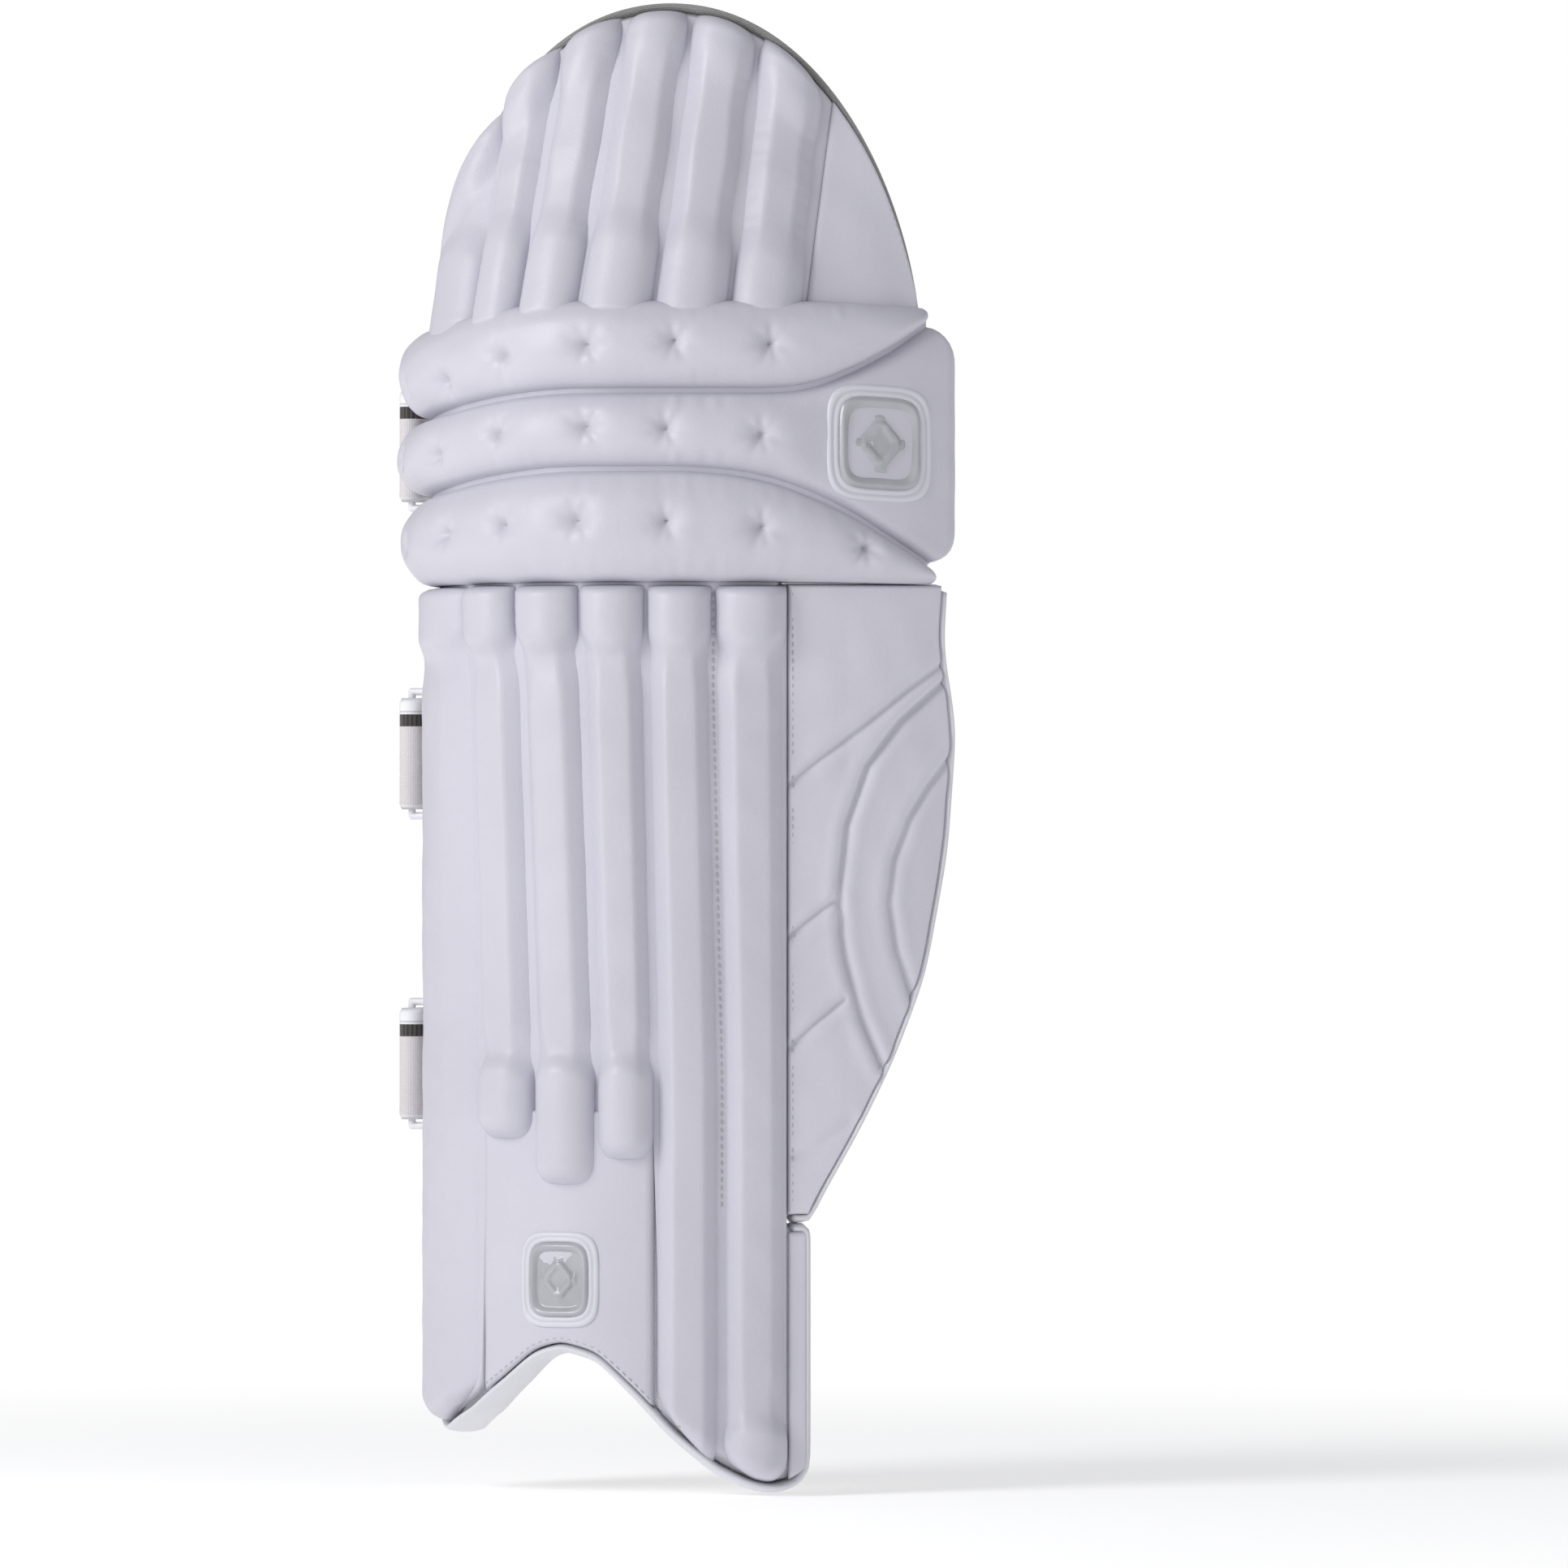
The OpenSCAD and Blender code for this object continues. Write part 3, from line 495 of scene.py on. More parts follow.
def upright_roll(name, left, right, low, high, body, bender, stands_for, seed, crease_low=None, crease_high=None,
                 rise=9.9, puff=14.6, lean_to=0.0, ends=(9, 6), narrow=(0.30, 0.0), melt=1.0, across=48, along=180):
    """A stuffed roll running up the pad: plump at its ends, drawn in to a chamfered bar between them."""

    def form(a, v, front):
        q, v = spread(a, 0.35), spread(v, 0.30)
        level = 300.0 if bender is bend else 60.0
        s = np.full_like(a, float(0.5 * (left(level) + right(level))))
        for _ in range(3):
            z = low(s) + v * np.maximum(high(s) - low(s), 0.2)
            s = left(z) + (right(z) - left(z)) * q
        z = low(s) + v * np.maximum(high(s) - low(s), 0.2)
        x = 2 * q - 1
        mid, half = 0.5 * (left(z) + right(z)), 0.5 * (right(z) - left(z))
        from_low, from_high = np.maximum(z - low(s), 0), np.maximum(high(s) - z, 0)
        end = np.minimum(from_low, from_high)
        pull = narrow[0] * (1 - np.clip(from_low / 13, 0, 1)) ** 2.4 + narrow[1] * (1 - np.clip(from_high / 13, 0,
                1)) ** 2.4
        m = np.zeros_like(a)
        neck = np.zeros_like(a)
        for crease, sign in ((crease_low, -1), (crease_high, 1)):
            if crease is None:
                continue
            at = sign * (z - crease(s)) - 6.5 * x * x
            m = np.maximum(m, ease(at, -5 * melt, 6 * melt))
            neck = np.maximum(neck, np.exp(-(((at + 9 * melt) / (8 * melt)) ** 2)))
        wall = np.power(np.clip(1 - np.abs(x) ** 30, 0, 1), 0.5)
        crown = 0.24 * wall + 0.76 * np.power(np.clip(1 - np.abs(x) ** 2.3, 0, 1), 0.75)
        wide = 0.44 - 0.06 * neck
        flank = np.clip((1 - np.abs(x - lean_to * (1 - np.abs(x)))) / (1 - wide), 0, 1)
        bar = 0.5 * (flank + 0.95 - np.sqrt((flank - 0.95) ** 2 + 0.0016)) + 0.014
        bar = (0.13 + 0.85 * bar) * wall + 0.02 * crown
        bar = bar * (1 - 0.10 * x) * (1 - 0.08 * neck)
        full = rounded(from_low, ends[0]) * rounded(from_high, ends[1])
        tall = (rise * (1 - m) * bar + puff * m * crown) * full
        edge = np.clip((np.abs(x) - 0.35) / 0.5, 0, 1) * (1 - np.abs(x) ** 6)
        pucker = np.sin(z * 2 * math.pi / 7.5 + 2.5 * ripple(s * 0, z, seed + 7, 0.6)) * ripple(s * 0, z, seed + 5, 1.4)
        tall = tall + full * crown * (0.42 * ripple(s, z, seed) + 0.25 * ripple(s, z, seed + 9, 2.2))
        tall = tall + full * 0.40 * edge * pucker
        s = mid + x * half * (1 - pull)
        h = np.where(front, -1.4 + tall + 1.4 * full * crown, -1.4)
        # painted shade along the roll's edges and ends, where the grooves between rolls lie in shade
        near = np.minimum((1 - np.abs(x)) * half, end + 0.4)
        shade = 0.26 * np.exp(-near / 0.9)
        return bender(s, z, h), np.stack([s, z], -1), np.clip(shade * front, 0, 1)

    return skin(name, across, along, form, roll_leather, "roll_leather", body, stands_for, fill=0.9)


def slab(name, left, right, low, high, out, inner, bender, material, slot, body, stands_for=(), seed=1,
         relief=None, back_relief=None, pinch=5.0, by_column=False, across=60, along=60, fill=0.5):
    """A flat quilted layer with soft pinched edges; relief pushes its faces out."""

    def form(a, v, front):
        if by_column:
            q = 0.5 - 0.5 * np.cos(math.pi * a)
            s = left(0.0) + (right(0.0) - left(0.0)) * q
            lo, hi = low(s), high(s)
            hi = np.maximum(hi, lo + 0.2)
            z = lo + spread(v, 0.4) * (hi - lo)
            side = np.minimum(s - left(0.0), right(0.0) - s)
        else:
            fixed = not callable(low)
            s = 0.5 * (left(200.0) + right(200.0)) + 0 * a
            for _ in range(2):
                lo, hi = (low, high) if fixed else (low(s), high(s))
                z = lo + spread(v, 0.3) * (hi - lo)
                s = left(z) + (right(z) - left(z)) * spread(a, 0.3)
            lo, hi = (low, high) if fixed else (low(s), high(s))
            z = lo + spread(v, 0.3) * (hi - lo)
            side = np.minimum(s - left(z), right(z) - s)
        d = np.minimum(side, np.minimum(z - lo, hi - z))
        soft = rounded(d, pinch)
        mid, half = 0.5 * (out + inner), 0.5 * (out - inner)
        push = relief(s, z) if relief is not None else 0.15 * ripple(s, z, seed)
        pull = back_relief(s, z) if back_relief is not None else 0.15 * ripple(s, z, seed + 3)
        h = np.where(front, mid + soft * (half + push), mid - soft * (half + pull))
        # painted shade: darker at the pinched edges, in the hollows of the back relief and where the front is pressed
        # in
        shade = 0.5 * np.exp(-np.maximum(d, 0) / 0.8)
        if back_relief is not None:
            shade = np.where(front, shade, np.clip(shade + 0.30 * np.exp(-np.maximum(pull, 0) / 0.30), 0, 1))
        if relief is not None:
            shade = np.where(front, np.clip(shade + 0.5 * np.clip(-push / 2.4, 0, 1) ** 2, 0, 1), shade)
        return bender(s, z, h), np.stack([s, z], -1), shade

    return skin(name, across, along, form, material, slot, body, stands_for, fill=fill)


def cushion(name, mid, half, z0, z1, base, rise, body, bender, material, slot, stands_for, seed=1, crown=2.6,
            corner=16, fill=0.8, across=40, along=110, back=0.4):
    """A stuffed pad on the leg side, rising inwards from the lining."""

    def form(a, v, front):
        q, v = spread(a, 0.4), spread(v, 0.4)
        x = 2 * q - 1
        z = z0 + v * (z1 - z0)
        end = np.minimum(z - z0, z1 - z)
        s = mid + x * half * (1 - 0.34 * (1 - np.clip(end / corner, 0, 1)) ** 2.4)
        full = np.power(np.clip(1 - np.abs(x) ** crown, 0, 1), 0.55) * rounded(end, corner)
        tall = rise * full * (1 + 0.045 * ripple(s, z, seed, 0.9))
        pucker = np.sin(z * 2 * math.pi / 8.5 + seed) * np.clip((np.abs(x) - 0.4) / 0.4, 0, 1) * (1 - x ** 6)
        tall = tall + 0.35 * pucker * rounded(end, corner) * ripple(s * 0, z, seed + 2, 1.2)
        h = np.where(front, base - tall, base + back)
        # painted shade towards the cushion's edges and ends
        near = np.minimum((1 - np.abs(x)) * half, end)
        return bender(s, z, h), np.stack([s, z], -1), 0.6 * np.exp(-near / 1.2) * front

    return skin(name, across, along, form, material, slot, body, stands_for, fill=fill)


def superellipse(t, a, b, power):
    c, d = np.cos(2 * math.pi * t), np.sin(2 * math.pi * t)
    return a * np.sign(c) * np.abs(c) ** (2 / power), b * np.sign(d) * np.abs(d) ** (2 / power)


def plaque(name, s0, z0, base, wide, tall, thick, bender, body, material, slot, stands_for, inward=False):
    """Generic moulded badge: a rimmed rounded square with a plain raised lozenge in it."""
    way = -1 if inward else 1

    def form(t, v):
        front = v <= 0.5
        rho = np.where(front, 2 * v, 2 - 2 * v)
        rho = np.where(front, rho ** 0.8, rho)
        x, z = superellipse(t, wide / 2, tall / 2, 5)
        x, z = x * rho, z * rho
        rim = np.exp(-(((rho - 0.88) / 0.07) ** 2))
        well = ease(rho, 0.80, 0.72)
        loz = np.abs(x) / (wide * 0.30) + np.abs(z) / (tall * 0.30)
        face = 0.55 + 0.34 * rim - 0.30 * well + 0.52 * ease(-loz, -1.06, -0.88) - 0.34 * ease(-loz, -0.64, -0.46)
        h = base + way * np.where(front, thick * face * rounded(1 - rho, 0.10), 0.0)
        return bender(s0 + x, z0 + z, h), np.stack([x, z], -1), np.zeros_like(t)

    return closed_form(name, 128, 72, form, material, slot, body, stands_for)


def badge_surround(name, s0, z0, base, wide, tall, rim, rise, bender, body, stands_for):
    """Two soft leather rings side by side, sewn down between them."""

    def form(t, v):
        turn = 2 * math.pi * v
        off = np.cos(turn) * rim / 2
        up = np.sin(turn)
        double = 0.80 + 0.20 * np.cos(4 * math.pi * off / rim * 0.98)
        double = np.where(up > 0, 1 - 0.42 * np.exp(-((off / (rim * 0.13)) ** 2)), double)
        x, z = superellipse(t, wide / 2 - rim / 2 + off, tall / 2 - rim / 2 + off, 4.2)
        h = base + np.where(up > 0, rise * np.abs(up) ** 0.7 * double, 0.4 * up)
        # painted shade in the sewn groove between the two rings
        shade = 0.5 * np.exp(-((off / 0.7) ** 2)) * (up > 0)
        return bender(s0 + x, z0 + z, h), np.stack([x, z], -1), shade

    return closed_form(name, 120, 28, form, frame_leather, "badge_frame", body, stands_for)


def even_path(points, step):
    points = np.asarray(points, float)
    run = np.concatenate([[0], np.cumsum(np.linalg.norm(np.diff(points, axis=0), axis=1))])
    count = max(int(run[-1] / step), 4)
    at = np.linspace(0, run[-1], count + 1)
    return np.stack([np.interp(at, run, points[:, k]) for k in range(points.shape[1])], -1), at


def arc_points(cx, cy, r, a0, a1, count=60):
    a = np.radians(np.linspace(a0, a1, count))
    return np.stack([cx + r * np.cos(a), cy + r * np.sin(a)], -1)


def ribbon(name, points, level, wide, thick, body, material, slot, stands_for=(), bead=0.0, step=2.4, relief=None,
           start=0.0, across=26, sag=0.0, seed=3):
    """A strap or tape standing on edge, carried along a level path; its outer face is to the right of the path."""
    path, run = even_path(points, step)
    way = np.gradient(path, axis=0)
    way /= np.linalg.norm(way, axis=1)[:, None]
    out = np.stack([way[:, 1], -way[:, 0]], -1)
    steps = len(path) - 1

    def form(a, v, front):
        q = spread(a, 0.5)
        at = v * steps
        cols = [np.interp(at, np.arange(steps + 1), k) for k in (path[:, 0], path[:, 1], out[:, 0], out[:, 1], run)]
        end = np.minimum(cols[4], run[-1] - cols[4])
        soft = rounded(np.minimum(q, 1 - q) * wide, 1.0) * rounded(end, 0.9)
        edge = np.minimum(q, 1 - q) * wide
        fat = thick / 2 + bead * np.exp(-(((edge - 1.5) / 1.1) ** 2))
        wave = sag * ripple(cols[4], q * 20, seed, 1.3) * np.clip(end / 20, 0, 1)
        push = relief(cols[4], (q - 0.5) * wide) if relief is not None else 0.0
        off = np.where(front, fat + push, -fat) * soft + wave
        place = np.stack([cols[0] + cols[2] * off, cols[1] + cols[3] * off, level + (q - 0.5) * wide], -1)
        # painted shade: a thin darker line in the groove just inside the edge bead
        shade = 0.45 * np.exp(-(((edge - 3.4) / 0.5) ** 2)) if bead else np.zeros_like(a)
        return place, np.stack([start + cols[4], (q - 0.5) * wide], -1), shade * np.ones_like(a)

    return skin(name, across, steps, form, material, slot, body, stands_for)


# ---------------------------------------------------------------- shin
edge_1 = curve([20, 205, 400, 411, 444], [-50, -50, -58, -61, -62], 6)
edge_2 = curve([20, 205, 400, 411, 444], [-15, -15, -23, -26, -27], 6)
edge_3 = curve([20, 205, 400, 411, 444], [17, 17, 10, 8.5, 8], 6)
edge_4 = curve([20, 205, 400, 411, 444], [45, 45, 41, 40.5, 40.5], 6)
edge_5 = curve([20, 205, 400, 411, 444], [77, 77, 72.5, 73, 73], 6)
edge_6 = curve([20, 205, 400, 411, 444], [109.5, 109.2, 108.7, 109, 109.4], 4)
top_level = const(443.2)
shin_crease = const(411.0)
ankle_crease = const(212.0)
foot_edge = lambda s: foot_line(s) + 5.2



def beside(edge, gap):
    return lambda z: edge(z) + gap


# name, edges, low end, seed, lower crease, and what differs from a plain roll
for name, left, right, low, seed, lower, more in (
    ("shin_roll_1", const(-130.0), beside(edge_1, -0.3), foot_edge, 11, None, {"rise": 12.0, "across": 60}),
    ("shin_roll_2", beside(edge_1, 0.3), beside(edge_2, -0.3), const(172.5), 22, ankle_crease, {"ends": (12, 5)}),
    ("shin_roll_3", beside(edge_2, 0.3), beside(edge_3, -0.3), const(150.5), 33, ankle_crease, {"ends": (12, 5)}),
    ("shin_roll_4", beside(edge_3, 0.3), beside(edge_4, -0.3), const(163.0), 44, ankle_crease, {"ends": (12, 5)}),
    ("shin_roll_5", beside(edge_4, 0.3), beside(edge_5, -0.3), foot_edge, 55, None, {}),
    ("shin_roll_6", beside(edge_5, 0.3), beside(edge_6, -0.1), foot_edge, 66, const(37.0), {}),
):
    upright_roll(name, left, right, low, top_level, "shin", bend, [name], seed, lower, shin_crease, **more)
slab("foot_flange_face", const(109.6), const(119.0), lambda s: foot_line(s) + 5.2,
     const(128.6), 2.6, -1.0, bend, panel_leather, "panel_leather", "shin", (), pinch=1.8, across=20, along=60)

shin_right = curve([0, 122, 133, 444], [121.0, 120.5, 109.2, 109.2], 1.5)
slab("shin_face_leather", const(-129.6), const(109.0),
     lambda s: np.where((s > -50.0) & (s < 45.0), 182.0, foot_edge(s) + 1.5), const(443.0), 2.4, -1.2, bend,
     roll_leather,
     "roll_leather", "shin", (), pinch=2.4, by_column=True, across=160, along=40)
slab("shin_core", const(-130.2), shin_right, lambda s: foot_line(s) + 5.0, const(443.3), 0, -12,
     bend, core_cloth, "foam_backing", "shin", ["shin_backing"], across=70, along=90)
slab("shin_leg_lining", const(-124.0), lambda z: shin_right(z) - 1.0, lambda s: foot_line(s) + 5.2,
     const(443.2), -12.2, -16.8, bend, lining_satin, "lining_satin", "shin", ["shin_lining"], pinch=2.4,
     across=70, along=90)


def instep_face(s, z):
    return 0.35 * ripple(s, z, 71, 1.3) + 1.2 * np.exp(-(((z - 150) / 60) ** 2)) * np.exp(-((s / 34) ** 2)) - 0.4


slab("instep_panel", const(-49.4), const(44.6), foot_edge, const(188.0), 4.0, -1.0,
     bend, roll_leather, "panel_leather", "shin", ["instep_panel"], relief=instep_face, pinch=2.6, across=60, along=70)
badge_surround("instep_badge_surround", -1.83, 105.2, 3.9, 40.5, 46.5, 5.2, 1.9, bend, "shin", ["instep_badge_frame"])
plaque("instep_badge", -1.83, 105.2, 3.6, 31, 37, 3.4, bend, "shin", badge_clear, "badge_plastic", ["instep_badge"])

s_row = np.linspace(-129.5, 114.5, 116)
foot_path = [(s, foot_line(s) + 2.6, -7.4) for s in s_row]
foot_path += [(118.3, 13, -7.4), (119.2, 20, -7.4), (119.3, 40, -7.4), (119.3, 70, -7.4), (119.3, 100, -7.4),
              (119.3, 124, -7.4), (119.0, 128.2, -7.4), (117.2, 130.0, -7.4), (110.5, 130.2, -7.4)]
foot_path, _ = even_path(foot_path, 2.2)
tube("foot_binding", foot_path, outward(foot_path), 2.7, 10.0, bend, white_piping, "edge_binding", "shin",
     ["shin_binding"], around=26)
left_path = np.array([(-130.4, z, -7.0) for z in np.linspace(44, 442, 120)])
tube("shin_left_edge", left_path, outward(left_path), 1.9, 10.0, bend, panel_leather, "panel_leather", "shin",
     around=22)

# leg side of the shin
for name, mid, half, z0, z1, rise, material, slot, seed, more in (
    ("inner_bolster", float(s_of(-46.0)), 29, 106, 426, 15, bolster_satin, "bolster_satin", 3, {}),
    ("outer_bolster", 36.65 + 4.189 * 7, 29, 106, 426, 15, bolster_satin, "bolster_satin", 4, {}),
    ("mesh_bolster", float(s_of(-13.0)), 38, 222, 428, 16, bolster_mesh, "bolster_mesh", 5, {"crown": 3.4}),
    ("ankle_bolster", float(s_of(-13.0)), 38, 139, 203, 15, bolster_satin, "bolster_satin", 6,
     {"crown": 3.2, "along": 50}),
    ("instep_bolster", float(s_of(-5.0)), 36, 79, 132, 11.5, bolster_satin, "bolster_satin", 7,
     {"crown": 3.2, "along": 46}),
):
    cushion(name, mid, half, z0, z1, -16.9, rise, "shin", bend, material, slot, [name], seed, **more)

# ---------------------------------------------------------------- side wing
FOLDS = [
    ([(192, 405), (172, 392), (146, 373), (125, 358), (109, 345)], 2.2, 1.7),
    ([(192, 396), (168, 377), (150, 355), (139, 326), (135, 293), (136, 273), (138, 261), (146, 233), (157, 209)],
     2.9, 1.9),
    ([(197, 361), (183, 345), (172, 329), (164, 309), (161, 289), (165, 265), (174, 241)], 2.4, 1.8),
    ([(109, 271), (121, 281), (132, 289)], 2.2, 1.6),
    ([(109, 217), (123, 230), (137, 241)], 2.2, 1.6),
    ([(109, 165), (124, 170), (141, 182)], 0.8, 3.0),
]


def wing_face(s, z):
    """Soft bends pressed into the side wing, with low swells between them."""
    total = 0.55 * ripple(s, z, 91, 1.2) + 1.1 * np.sin(np.clip((s - 109) / 30, 0, 1) * math.pi) * 0.6
    for points, depth, wide in FOLDS:
        near = np.full_like(s, 1e9)
        for (s0, z0), (s1, z1) in zip(points[:-1], points[1:]):
            ds, dz = s1 - s0, z1 - z0
            t = np.clip(((s - s0) * ds + (z - z0) * dz) / (ds * ds + dz * dz), 0, 1)
            near = np.minimum(near, np.hypot(s - s0 - t * ds, z - z0 - t * dz))
        total = total - depth * np.exp(-((near / wide) ** 2)) + 0.22 * depth * np.exp(-(((near - 6.0) / 3.5) ** 2))
    return total


slab("side_wing", const(109.2), lambda z: wing_line(z) - 3.4, 136.4, 443.4, 2.4, -11.9, bend, panel_leather,
     "panel_leather", "wing", ["side_wing"], relief=wing_face, pinch=1.6, across=150, along=260, fill=0.45)
slab("wing_lining", const(110.4), lambda z: wing_line(z) - 3.8, 136.8, 443.2, -12.2, -16.8, bend, lining_satin,
     "lining_satin", "wing", ["wing_lining"], pinch=2.4, across=50, along=90)
wing_path = [(110.8, 135.2, -7.0), (116, 135.0, -7.0), (119.5, 135.4, -7.0)]
wing_path += [(float(wing_line(z)) - 2.2, z, -7.0) for z in np.linspace(141, 441.5, 130)]
wing_path, _ = even_path(wing_path, 2.2)
tube("wing_edge_binding", wing_path, outward(wing_path), 2.3, 9.9, bend, white_piping, "edge_binding", "wing",
     ["wing_binding"], around=26)
slab("side_tab", const(float(s_of(np.array(53.0)))), const(float(s_of(np.array(60.2)))), 317.5, 348.5,
     -17.1, -19.5, bend, tab_tape, "tab_cloth", "wing", ["side_tab"], pinch=1.2, across=24, along=24, fill=None)

# ---------------------------------------------------------------- knee
TOP_TUFTS = [(-104, 552), (-62.3, 550), (-23.3, 556.4), (15.4, 558.8), (54.4, 560.6), (98, 559.6)]
MID_TUFTS = [(-106, 518), (-68.4, 515), (-28, 518.6), (15.2, 519), (50.5, 518.6), (94, 515.4)]
LOW_TUFTS = [(-104, 470), (-60.3, 472), (-24.2, 473.4), (11.7, 474), (50.6, 473), (94.2, 470.4), (142.7, 461)]


def level_roll(name, low, high, s0, s1, rise, tufts, stands_for, seed, fade=None, corner=0.0, across=60, along=360):
    """A stuffed roll across the knee, drawn in by a row of tufts."""

    def form(a, v, front):
        q = spread(a, 0.45)
        s = s0 + spread(v, 0.12) * (s1 - s0)
        if corner:
            level = 0.5 * (low(s) + high(s)) + (q - 0.5) * (high(s) - low(s))
            s = s - ease(s, s1 - 60, s1) * corner * (ease(level, 553, 580) ** 2 + ease(-level, -470, -444) ** 2)
        lo, hi = low(s), high(s)
        hi = np.maximum(hi, lo + 0.3)
        flat = ease(s, *fade) if fade else np.zeros_like(s)
        end = np.minimum(s - s0, s1 - s0 - (s - s0)) if not corner else np.minimum(s - s0, spread(1 - v,
                0.12) * (s1 - s0))
        x = 2 * q - 1
        half = 0.5 * (hi - lo)
        z = 0.5 * (lo + hi) + x * half * (1 - 0.10 * (1 - np.clip(end / 12, 0, 1)) ** 2.4)
        wall = rounded((1 - np.abs(x)) * half, 3.4)
        crown = 0.40 * wall + 0.60 * np.power(np.clip(1 - np.abs(x) ** 2.2, 0, 1), 0.80)
        panel = rounded((1 - np.abs(x)) * half, 7.0)
        full = rounded(end, 9.5) * rounded(half, 16)
        tall = (rise(s) * ((1 - flat) * crown + flat * panel)) * full
        live = 1 - flat
        for i, (ts, tz) in enumerate(tufts):
            ds, dz = s - ts, z - tz
            r = np.hypot(ds, dz)
            turn = np.arctan2(dz, ds)
            tall = tall - live * (6.4 * np.exp(-r / 2.9) + 1.9 * np.exp(-((r / 8.5) ** 2)))
            ray = np.cos(7 * turn + i) + 0.6 * np.cos(4 * turn + 2 * i)
            tall = tall + live * 0.75 * ray * (r / 6) ** 2 * np.exp(-((r / 6.0) ** 2))
        tall = tall + full * (0.55 * ripple(s, z, seed, 0.8) * crown)
        fold = np.sin(s * 2 * math.pi / 9.5 + 3 * ripple(s, z * 0, seed + 1, 0.8)) * ripple(s, z * 0, seed + 2, 1.2)
        tall = tall + 0.6 * live * full * fold * np.clip((np.abs(x) - 0.4) / 0.4, 0, 1) * (1 - np.abs(x) ** 6)
        h = np.where(front, -1.4 + 1.4 * full * crown + np.maximum(tall, 0.0), -1.4)
        # painted shade along the roll's edges and ends, and a darker spot in each tuft dimple
        near = np.minimum((1 - np.abs(x)) * half, np.maximum(end, 0))
        shade = 0.16 * np.exp(-near / 1.0)
        for ts, tz in tufts:
            shade = shade + 0.60 * live * np.exp(-(((np.hypot(s - ts, z - tz)) / 2.1) ** 2))
        return knee_bend(s, z, h), np.stack([s, z], -1), np.clip(shade * front, 0, 1)

    return skin(name, across, along, form, roll_leather, "roll_leather", "knee", stands_for, fill=0.95)


level_roll("knee_roll_top", lambda s: top_roll_low(s) + 0.15, const(581.2), -130.5, 181,
           lambda s: 20.5 + 2.8 * ease(-s, 50, 100),
           TOP_TUFTS, ["knee_roll_top"], 301)
level_roll("knee_roll_middle", lambda s: low_roll_top(s) + 0.15, lambda s: top_roll_low(s) - 0.15, -130.5, 196.0,
           lambda s: 19.0 - 6.2 * ease(s, 92, 130) + 5.4 * ease(-s, 50, 105), MID_TUFTS, ["knee_roll_middle"], 302,
           fade=(100, 130), corner=11.0, across=64)
level_roll("knee_roll_bottom", const(443.5), lambda s: low_roll_top(s) - 0.15, -130.5, 186,
           lambda s: 20.5 + 2.0 * ease(-s, 50, 100), LOW_TUFTS, ["knee_roll_bottom"], 303)


def tuft_threads():
    """A short crossed thread pulled down in each tuft."""
    rows = []
    for tufts, z_mid, half, crest in ((TOP_TUFTS, 559, 22, 20.5), (MID_TUFTS, 518, 19, 18.5),
                                      (LOW_TUFTS, 472, 27, 20.5)):
        for s, z in tufts:
            h = max(crest * (0.4 + 0.6 * (1 - abs((z - z_mid) / half) ** 2.2) ** 0.8) - 7.6, 3.0)
            for ds, dz in ((1.3, 1.0), (1.3, -1.0)):
                rows.append([knee_bend(s - ds, z - dz, h + 0.8), knee_bend(s + ds, z + dz, h + 0.8)])
    return rows


stitches("knee_tufts", tuft_threads(), grey_thread, "knee", ["knee_tufts"], pitch=3.0,
         length=3.2, thick=0.45)
badge_surround("knee_badge_surround", 151.8, 513.0, 11.7, 53, 57, 6.4, 2.0, knee_bend, "knee", ["knee_badge_frame"])
plaque("knee_badge", 151.8, 513.0, 11.4, 42, 46, 3.6, knee_bend, "knee", badge_clear, "badge_plastic", ["knee_badge"])
slab("knee_face_leather", const(-129.8), const(180.0), const(445.6), const(580.0), 6.6, -1.2, knee_bend, roll_leather,
     "roll_leather", "knee", (), pinch=3.0, by_column=True, across=120, along=40)
slab("knee_core", const(-130.0), lambda z: 193.6 - 14.0 * (ease(z, 553, 581) ** 2 + ease(-z, -470, -444) ** 2), 444.6,
     581.4, 0, -12, knee_bend, core_cloth,
     "foam_backing", "knee", ["knee_backing"], across=90, along=40)


def knee_cup_face(s, z):
    """Soft box-quilted swell of the knee cushion."""
    cell = np.abs(np.sin(math.pi * (s + 6) / 62)) * np.abs(np.sin(math.pi * (z - 448) / 65))
    return 5.4 * np.power(cell, 0.5) - 2.2 + 0.2 * ripple(s, z, 88)


def knee_cup_high(s):
    return 578.0 - 24 * ease(s, 110, 185) - 20 * ease(-s, 60, 118)


def knee_cup_low(s):
    return 448.0 + 26 * ease(s, 110, 185) + 20 * ease(-s, 60, 118)


slab("knee_cup", const(-115.0), const(182.0), knee_cup_low, knee_cup_high, -12.3, -20.5, knee_bend,
     bolster_mesh, "bolster_mesh", "knee", ["knee_cup"], back_relief=knee_cup_face, pinch=6, across=100, along=56,
     fill=0.7)

# ---------------------------------------------------------------- top hat
hat_1 = curve([-10, 99], [-52.5, -51], 5)
hat_2 = curve([-10, 126], [-24, -18.3], 5)
hat_3 = curve([-10, 143], [8, 13], 5)
hat_4 = curve([-10, 150], [44.6, 44.6], 5)
hat_5 = curve([-10, 150], [80.8, 78], 5)
hat_6 = curve([-10, 142], [117.2, 113], 5)
hat_edge = lambda s: np.maximum(dome(s) - 5.4, hat_floor(s) + 0.4)
hat_start = lambda s: hat_floor(s) - 1.5 - 13.0 * ease(-s, -12, 100) - 2.5 * ease(s, 110, 180)
base_crease = const(38.0)
dome_crease = lambda s: dome(s) - 33.0

